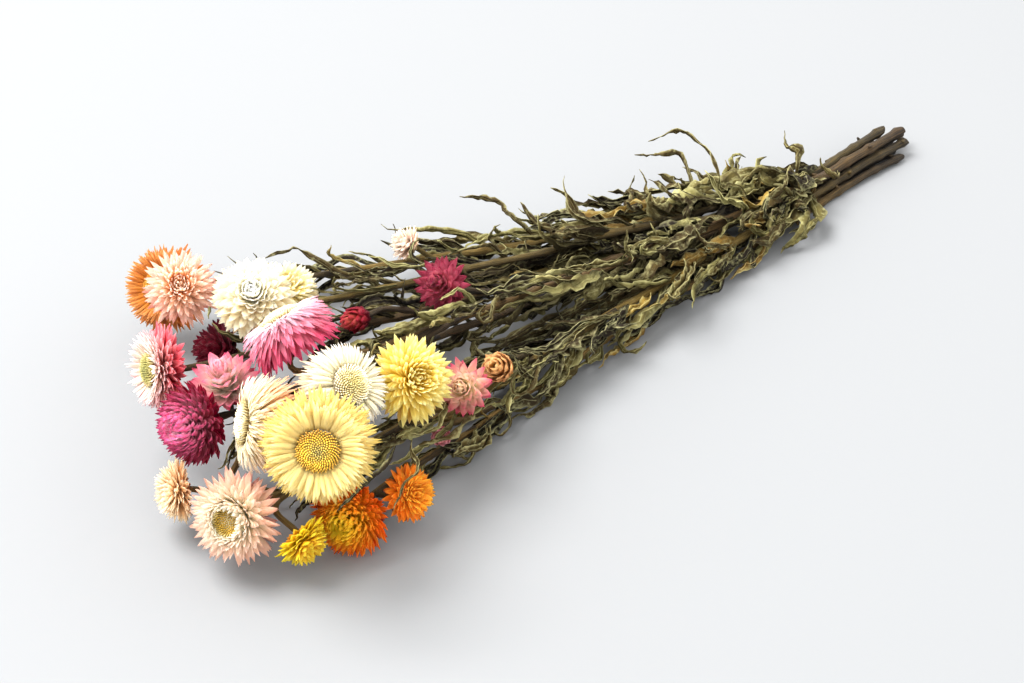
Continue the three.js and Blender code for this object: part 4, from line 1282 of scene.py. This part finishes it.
# Curls of leaf too small for the model, and long thin leaves between two branches: the stem that each grows
# from, and its way.
LOOSE = {
    2: [Stray(70, 5, [(168, -20, 24), (173, -17, 28), (171, -11, 30), (175, -4, 32)])],
    6: [
        Stray(150, 5, [(60, -31, 14), (30, -31, 18), (0, -30, 21), (-35, -30, 23)]),
        Stray(166, 7, [(50, -33, 12), (20, -34, 15), (-10, -31, 19), (-30, -33, 25)]),
        Stray(190, 5, [(22, -29, 15), (-5, -28, 20), (-35, -28, 24), (-60, -29, 27)]),
        Stray(204, 7, [(8, -33, 13), (-18, -33, 15), (-45, -31, 21), (-72, -33, 19)]),
        Stray(212, 4, [(-2, -27, 18), (-30, -26, 23), (-50, -27, 25), (-66, -24, 31)]),
        Stray(226, 6, [(-15, -28, 15), (-35, -27, 18), (-55, -28, 24), (-78, -26, 25)]),
        Stray(242, 6, [(-25, -34, 13), (-48, -35, 17), (-66, -31, 22), (-85, -34, 17)]),
        Stray(262, 5, [(-40, -28, 15), (-60, -29, 19), (-80, -27, 23), (-102, -30, 22)]),
        Stray(280, 5, [(-58, -30, 17), (-72, -28, 24), (-86, -29, 26), (-98, -33, 30)]),
    ],
    8: [Stray(310, 3, [(-73, -57, 6), (-81, -59, 3), (-82, -51, 4), (-81, -48, 6)])],
}

Leaf = namedtuple("Leaf", "foot stands_off length width spread round turn wave roll twist")


def off_middle_line(p):
    """How far along the bunch's middle line a place is, from 0 at the neck, and how far aside and above."""
    t = (NECK.x - p.x) / (NECK.x - HEADS_MIDDLE.x)
    return t, p.y - mix(NECK.y, HEADS_MIDDLE.y, t), p.z - mix(NECK.z, HEADS_MIDDLE.z, t)


def depth_in_bunch(p):
    """How near a place is to the bunch's outside, from 0, at its middle line, to 1."""
    t, aside, above = off_middle_line(p)
    y = aside / mix(*HALF_WIDTHS, max(t, 0))
    z = above / mix(*HALF_HEIGHTS, max(t, 0))
    return min(math.hypot(y, z), 1)


def outward_at(way, s):
    """Which way a place on a stem faces, as an angle round it: outwards from the bunch's middle line."""
    _, aside, above = off_middle_line(way.point(s))
    out = Vector((0, aside, above))
    side, up = across(way.along(s))
    return math.atan2(out.dot(up), out.dot(side))


def radius_on(branch, s):
    """How thick the model takes a branch to be where a leaf grows: a stalk, as thick as at its fork."""
    if branch.plan.spread == STALK_LEAVES.spread:
        return branch.thick
    return mix(branch.thick, branch.thin, min(s / branch.way.length, 1))


def draw_leaf(branch, n, tries):
    """A leaf's sizes and turns, drawn in the same order as the model's."""
    way, plan = branch.way, branch.plan
    rng = draws(branch.seed * SEEDS_PER_BRANCH + n * SEEDS_PER_LEAF + tries)
    eager = 1 - SHRINKS * (tries / LEAF_TRIES)
    foot = mix(plan.first, way.length - plan.stops, ((n + VARIED_FOOT * rng()) / plan.count) ** plan.crowd)
    t = foot / way.length
    long = mix(*plan.length, t) * mix(*VARIED_LENGTH, rng()) * eager
    wide = mix(*plan.width, t) * mix(*VARIED_WIDTH, rng()) * mix(1, eager, NARROWS)
    spread = mix(*plan.spread, rng()**SPREAD_LOW) * mix(*VARIED_SPREAD, t)
    around = outward_at(way, foot) + swing(rng, VARIED_ROUND + ROUND_MORE * tries)
    turn = swing(rng, VARIED_TURN)
    wave = swing(rng, VARIED_WAVE)
    roll = 2 * math.pi * rng()
    twist = swing(rng, VARIED_TWIST)
    stands_off = radius_on(branch, foot) + STANDS_OFF
    return Leaf(foot, stands_off, long, wide, spread, around, turn, wave, roll, twist)


def leaf_point(way, leaf, t):
    """A leaf's middle line: it leaves its stem at a foot and follows it, standing off further and turning."""
    s = leaf.foot + LEAF_REACH * leaf.length * t
    side, up = across(way.along(s))
    angle = leaf.round + leaf.turn * t + leaf.wave * math.sin(ROUND_WAVES * t + leaf.round)
    free = leaf.stands_off + leaf.spread * t * (1 + OFF_VARIES * math.sin(OFF_WAVES * t + leaf.turn))
    off = mix(STARTS_OFF * leaf.stands_off, free, min(1, LEAF_STEPS * t))
    p = way.point(s) + side * (off * math.cos(angle)) + up * (off * math.sin(angle))
    p.z = max(p.z, LOWEST_LEAF)
    return p


def blade_frames(points, roll, twist):
    """How a blade lies at each point of its middle line: across it, and up from it."""
    last = len(points) - 1
    frames = []
    flat = None
    for i in range(last + 1):
        on = (points[min(i + 1, last)] - points[max(i - 1, 0)]).normalized()
        if flat is None:
            side, up = across(on)
            flat = side * math.cos(roll) + up * math.sin(roll)
        flat = (flat - on * flat.dot(on)).normalized()
        if i:
            flat = Quaternion(on, twist / last) @ flat
        frames.append((flat.copy(), on.cross(flat)))
    return frames


def curl_tip(points, start, angle, lift):
    """Bends a line of points more and more from one of them on, towards a side, as a drying tip curls."""
    curled = points[:start + 1]
    count = len(points) - 1 - start
    turn = Quaternion()
    for number, (before, after) in enumerate(zip(points[start:], points[start + 1:])):
        step = after - before
        axis = step.cross(lift).normalized()
        turn = Quaternion(axis, angle / count) @ turn if number else Quaternion(axis, angle / count)
        curled.append(curled[-1] + turn @ step)
    return curled


def half_width(t, width, crinkle, phase):
    """Half a blade's width at a share t of its length: narrow at its foot and its tip, and uneven."""
    half = width / 2 * min(1, LEAF_FOOT + LEAF_WIDENS * t) * (1 - t**4) + LEAF_EDGE
    return half * (1 + WIDTH_VARIES * crinkle * math.sin(WIDTH_WAVES * t + phase))


def add_leaf(bm, layers, points, width, roll, twist, tone, crinkle, rng):
    """A thin dry blade along a line of points: curled across, ruffled at its edges and crumpled."""
    frames = blade_frames(points, roll, twist)
    pleats = crinkle * mix(*PLEATS, rng())
    pleated_at = any_angle(rng)
    pleats_change = mix(*PLEATS_CHANGE, rng())
    bend = mix(*CURLS_ACROSS, rng()) * (1 if rng() < CURLS_UP else -1)
    waves = mix(*EDGE_WAVES, rng())
    phase = any_angle(rng)
    crumple = crinkle * min(1, width / WHOLE_WIDTH)
    drawn_at = Vector((tone * TONES_APART, 0, 0))
    (broad_size, broad_depth), (fine_size, fine_depth) = CRUMPLES
    grid = bmesh.ops.create_grid(bm, x_segments=LEAF_ACROSS, y_segments=LEAF_ALONG, size=1)
    for vert in grid["verts"]:
        u, t = vert.co.x, (vert.co.y + 1) / 2
        i = round(t * LEAF_ALONG)
        flat, up = frames[i]
        half = half_width(t, width, crinkle, phase)
        curled = bend * (1 + CURL_VARIES * math.sin(CURL_WAVES * t + phase))
        wave = math.sin(2 * math.pi * waves * t + phase + WAVES_BETWEEN * (u > 0))
        ruffle = RUFFLE * crinkle * abs(u) ** RUFFLE_RISES * wave
        comes_and_goes = 0.6 + 0.4 * math.sin(pleats_change * t + pleated_at + 2 * u)
        pleat = pleats * math.cos(2 * math.pi * u) * comes_and_goes
        wide = half * math.sin(curled * u) / curled * (1 - PLEATS_NARROW * pleats)
        rise = half * (1 - math.cos(curled * u)) / curled + half * (ruffle + PLEATS_RISE * pleat)
        co = points[i] + flat * wide + up * rise
        free = min(1, 2 * t)
        broad = noise.noise_vector(co * broad_size + drawn_at) * (broad_depth * crumple * free)
        fine = noise.noise_vector(co * fine_size) * (fine_depth * crumple * free)
        vert.co = co + broad + fine
        vert[layers["blade"]] = (u, t, tone)
        # The blade's relief, from which the leaf material paints shade in its hollows and a highlight on its
        # ridges.
        vert[layers["relief"]] = ruffle + pleat + 0.5 * fine.dot(up)
        # How deep in the bunch each corner lies; the leaf material paints shade from this.
        vert[layers["outside"]] = depth_in_bunch(vert.co)
    creases = {edge for vert in grid["verts"] for edge in vert.link_edges}
    for edge in creases:
        u, other = (vert[layers["blade"]].x for vert in edge.verts)
        edge.smooth = abs(u - other) > SHARP_CREASE or abs(u) > NEAR_SIDE


def leaf_tone(p, rng):
    """How bleached a leaf is: olive near the blooms, grey-green and khaki towards the cut ends; paler on top
    as painted light, and darker low down as painted shade.
    """
    toward_ends = min(max((p.x - TONES_FROM) / TONES_OVER, 0), 1)
    is_pale = rng() < mix(*ARE_PALE, toward_ends)
    usual = mix(*USUAL_TONES, toward_ends) + swing(rng, TONES_VARY) + PAINTED_LIGHT_ON_TOP * (min(p.z / TOP_AT, 1) - 0.5)
    return mix(*PALE_TONES, rng()) if is_pale else min(max(usual, 0), MOST_USUAL)


def line_of(branch, leaf):
    """Points along a leaf's middle line, from its foot to its tip."""
    return [leaf_point(branch.way, leaf, i / LEAF_ALONG) for i in range(LEAF_ALONG + 1)]


def add_leaves_at(bm, layers, branch, leaf, settings, rng):
    """One of the model's leaves as a thin blade, and thinner ones beside it."""
    toward_ends = 1 - leaf.foot / branch.way.length
    last = branch.way.length - BESIDE_STOPS
    for beside in range(1 + round(settings.more * mix(*BESIDE, toward_ends))):
        grown = leaf
        if beside:
            grown = leaf._replace(
                foot=min(max(leaf.foot + swing(rng, BESIDE_SHIFT), BESIDE_FIRST), last),
                length=leaf.length * mix(BESIDE_LENGTH[0], mix(*BESIDE_LENGTH[1], toward_ends), rng()),
                width=leaf.width * mix(BESIDE_WIDTH[0], mix(*BESIDE_WIDTH[1], toward_ends), rng()),
                spread=leaf.spread * mix(*BESIDE_SPREAD, rng()),
                round=leaf.round + swing(rng, BESIDE_ROUND),
                turn=swing(rng, BESIDE_TURN),
                wave=swing(rng, BESIDE_WAVE),
                roll=2 * math.pi * rng(),
                twist=swing(rng, BESIDE_TWIST),
            )
        points = line_of(branch, grown)
        curl_often, curl_most = TIP_CURLS[beside > 0]
        if rng() < curl_often:
            lift = Vector((rng() - 0.5, rng() - 0.5, CURL_RISES))
            points = curl_tip(points, LEAF_ALONG // 2, math.radians(curl_most) * rng(), lift)
        tone = leaf_tone(points[0], rng)
        add_leaf(bm, layers, points, grown.width, grown.roll, grown.twist, tone, settings.crinkle, rng)


def grow_leaves(index, settings):
    """Every leaf of one leafy stem."""
    bm, layers = new_mesh(blade="float_vector", relief="float", outside="float")
    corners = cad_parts[f"leafy_stem_{index + 1}"].data.vertices
    known = KDTree(len(corners))
    for number, corner in enumerate(corners):
        known.insert(corner.co, number)
    known.balance()
    rng = draws(SEED_BLADES + index)
    noise.seed_set(SEED_BLADES + index)
    branches = branches_of(index)
    grown = 0
    for branch in branches:
        for n in range(branch.plan.count):
            for tries in range(LEAF_TRIES):
                leaf = draw_leaf(branch, n, tries)
                tip = place(leaf_point(branch.way, leaf, 1))
                if known.find(tip)[2] < TIP_MATCH:
                    add_leaves_at(bm, layers, branch, leaf, settings, rng)
                    grown += 1
                    break
    if not grown:
        raise RuntimeError(f"none of the leaves of leafy_stem_{index + 1} was found in the model")
    for stray in [*STEMS[index].strays, *LOOSE.get(index, [])]:
        points = spline([branches[0].way.point(stray.foot), *map(Vector, stray.through)], LEAF_ALONG)
        tone = mix(*STRAY_TONES, rng())
        add_leaf(bm, layers, points, stray.width, STRAY_ROLL, STRAY_TWIST, tone, settings.crinkle, rng)
    into_frame(bm)
    return bm


# ---- Stage ----
CAMERA_TURN = -42
CAMERA_RISE = 40
LOOKS_AT = (-28, -8, 0)
SENSOR_WIDTH = 36
FLOOR_SIZE = 16.0
LIGHT_AT = Vector((-0.75, 0.95, 2.4))
LIGHT_SIZE = 1.8


def plain_floor(settings):
    bm = bmesh.new()
    bmesh.ops.create_grid(bm, x_segments=1, y_segments=1, size=FLOOR_SIZE / 2)
    mesh = bpy.data.meshes.new("Floor")
    bm.to_mesh(mesh)
    bm.free()
    material, tree, output = new_material("Plain floor")
    surface = principled(tree, {
        "Base Color": opaque(settings.floor), "Roughness": 0.9, "Specular IOR Level": 0.1})
    tree.links.new(surface, output.inputs["Surface"])
    mesh.materials.append(material)
    return bpy.data.objects.new("Floor", mesh)


def soft_light(settings):
    light = bpy.data.lights.new("Soft light", "AREA")
    light.shape = "DISK"
    light.size = LIGHT_SIZE
    light.energy = settings.key
    lamp = bpy.data.objects.new("Soft light", light)
    lamp.location = LIGHT_AT
    lamp.rotation_euler = LIGHT_AT.to_track_quat("Z", "Y").to_euler()
    return lamp


def even_sky(settings):
    world = bpy.data.worlds.new("Even sky")
    world.use_nodes = True
    background = world.node_tree.nodes["Background"]
    background.inputs["Color"].default_value = (1, 1, 1, 1)
    background.inputs["Strength"].default_value = settings.fill
    return world


def looking_camera(settings):
    turn, rise = math.radians(CAMERA_TURN), math.radians(CAMERA_RISE)
    back = Vector((math.sin(turn) * math.cos(rise), -math.cos(turn) * math.cos(rise), math.sin(rise)))
    lens = bpy.data.cameras.new("Camera")
    lens.lens = settings.lens
    lens.sensor_width = SENSOR_WIDTH
    camera = bpy.data.objects.new("Camera", lens)
    camera.location = place(LOOKS_AT) + back * settings.distance
    camera.rotation_euler = back.to_track_quat("Z", "Y").to_euler()
    return camera


# ---- Operators ----
class STRAWFLOWER_OT_bracts(Operator):
    """Make the papery bracts of every bloom"""

    bl_idname = "strawflower.bracts"
    bl_label = "Papery Bracts"

    def execute(self, context):
        bunch = context.scene.strawflowers
        for index, name in enumerate(BLOOMS):
            codes = [getattr(bunch.bract_colours, f"{name}_{where}") for where in COLOUR_PLACES]
            material = papery_material(name, codes, bunch.bracts)
            finish_piece(bract_bloom(name, index), f"bracts_{name}", [f"bloom_{name}"],
                         [material], bunch.bracts.thickness)
        return {"FINISHED"}


class STRAWFLOWER_OT_florets(Operator):
    """Make the disc of florets of each bloom that is open enough to show one"""

    bl_idname = "strawflower.florets"
    bl_label = "Florets"

    def execute(self, context):
        bunch = context.scene.strawflowers
        for index, name in enumerate(FLORET_COLOURS):
            codes = [getattr(bunch.floret_colours, f"{name}_{where}") for where in FLORET_PLACES]
            finish_piece(floret_disc(name, index), f"florets_{name}", [f"disc_{name}"],
                         [floret_material(name, codes)])
        return {"FINISHED"}


class STRAWFLOWER_OT_stems(Operator):
    """Make the ribbed stems and stalks"""

    bl_idname = "strawflower.stems"
    bl_label = "Stems"

    def execute(self, context):
        settings = context.scene.strawflowers.stems
        materials = [stem_material(settings), pith_material(settings)]
        for index in range(len(STEMS)):
            finish_piece(grow_stem(index, settings), f"stem_{index + 1}", [f"leafy_stem_{index + 1}"],
                         materials)
        return {"FINISHED"}


class STRAWFLOWER_OT_leaves(Operator):
    """Make the thin dry leaves of every stem"""

    bl_idname = "strawflower.leaves"
    bl_label = "Dry Leaves"

    def execute(self, context):
        settings = context.scene.strawflowers.leaves
        material = leaf_material()
        for index in range(len(STEMS)):
            finish_piece(grow_leaves(index, settings), f"leaves_{index + 1}", [f"leafy_stem_{index + 1}"],
                         [material], settings.thickness)
        return {"FINISHED"}


class STRAWFLOWER_OT_stage(Operator):
    """Make the plain floor, the soft light, the even sky and the camera"""

    bl_idname = "strawflower.stage"
    bl_label = "Stage"

    def execute(self, context):
        settings = context.scene.strawflowers.stage
        floor, lamp, camera = plain_floor(settings), soft_light(settings), looking_camera(settings)
        for made in (floor, lamp, camera):
            context.collection.objects.link(made)
        context.scene.world = even_sky(settings)
        context.scene.camera = camera
        view = context.scene.view_settings
        view.view_transform = "Standard"
        view.gamma = settings.contrast
        return {"FINISHED"}


class BunchSettings(PropertyGroup):
    bracts: settings_of(BractSettings, "Bracts", "How the papery bracts are made")
    stems: settings_of(StemSettings, "Stems", "How the stems are made")
    leaves: settings_of(LeafSettings, "Leaves", "How the dry leaves are made")
    stage: settings_of(StageSettings, "Stage", "The floor, the lights and the camera")
    bract_colours: settings_of(BractColours, "Bract colours", "Each bloom's own colours")
    floret_colours: settings_of(FloretColours, "Floret colours", "Each disc's own colours")


class STRAWFLOWER_PT_bunch(Panel):
    """Make the bunch of dried strawflowers, piece by piece"""

    bl_idname = "STRAWFLOWER_PT_bunch"
    bl_label = "Dried Strawflowers"
    bl_space_type = "VIEW_3D"
    bl_region_type = "UI"
    bl_category = "Strawflowers"

    def draw(self, context):
        bunch = context.scene.strawflowers
        for operator in OPERATORS:
            self.layout.operator(operator.bl_idname)
        for group in (bunch.bracts, bunch.stems, bunch.leaves, bunch.stage):
            box = self.layout.box()
            for key in group.bl_rna.properties.keys():
                if key not in {"rna_type", "name"}:
                    box.prop(group, key)


SETTINGS = (BractColours, FloretColours, BractSettings, StemSettings, LeafSettings, StageSettings,
            BunchSettings)
OPERATORS = (STRAWFLOWER_OT_stage, STRAWFLOWER_OT_stems, STRAWFLOWER_OT_leaves, STRAWFLOWER_OT_bracts,
             STRAWFLOWER_OT_florets)


def register():
    for group in (*SETTINGS, *OPERATORS, STRAWFLOWER_PT_bunch):
        bpy.utils.register_class(group)
    bpy.types.Scene.strawflowers = PointerProperty(type=BunchSettings)


def unregister():
    del bpy.types.Scene.strawflowers
    for group in reversed((*SETTINGS, *OPERATORS, STRAWFLOWER_PT_bunch)):
        bpy.utils.unregister_class(group)


def main():
    register()
    bpy.ops.strawflower.stage()
    bpy.ops.strawflower.stems()
    bpy.ops.strawflower.leaves()
    bpy.ops.strawflower.bracts()
    bpy.ops.strawflower.florets()


if __name__ == "__main__":
    main()
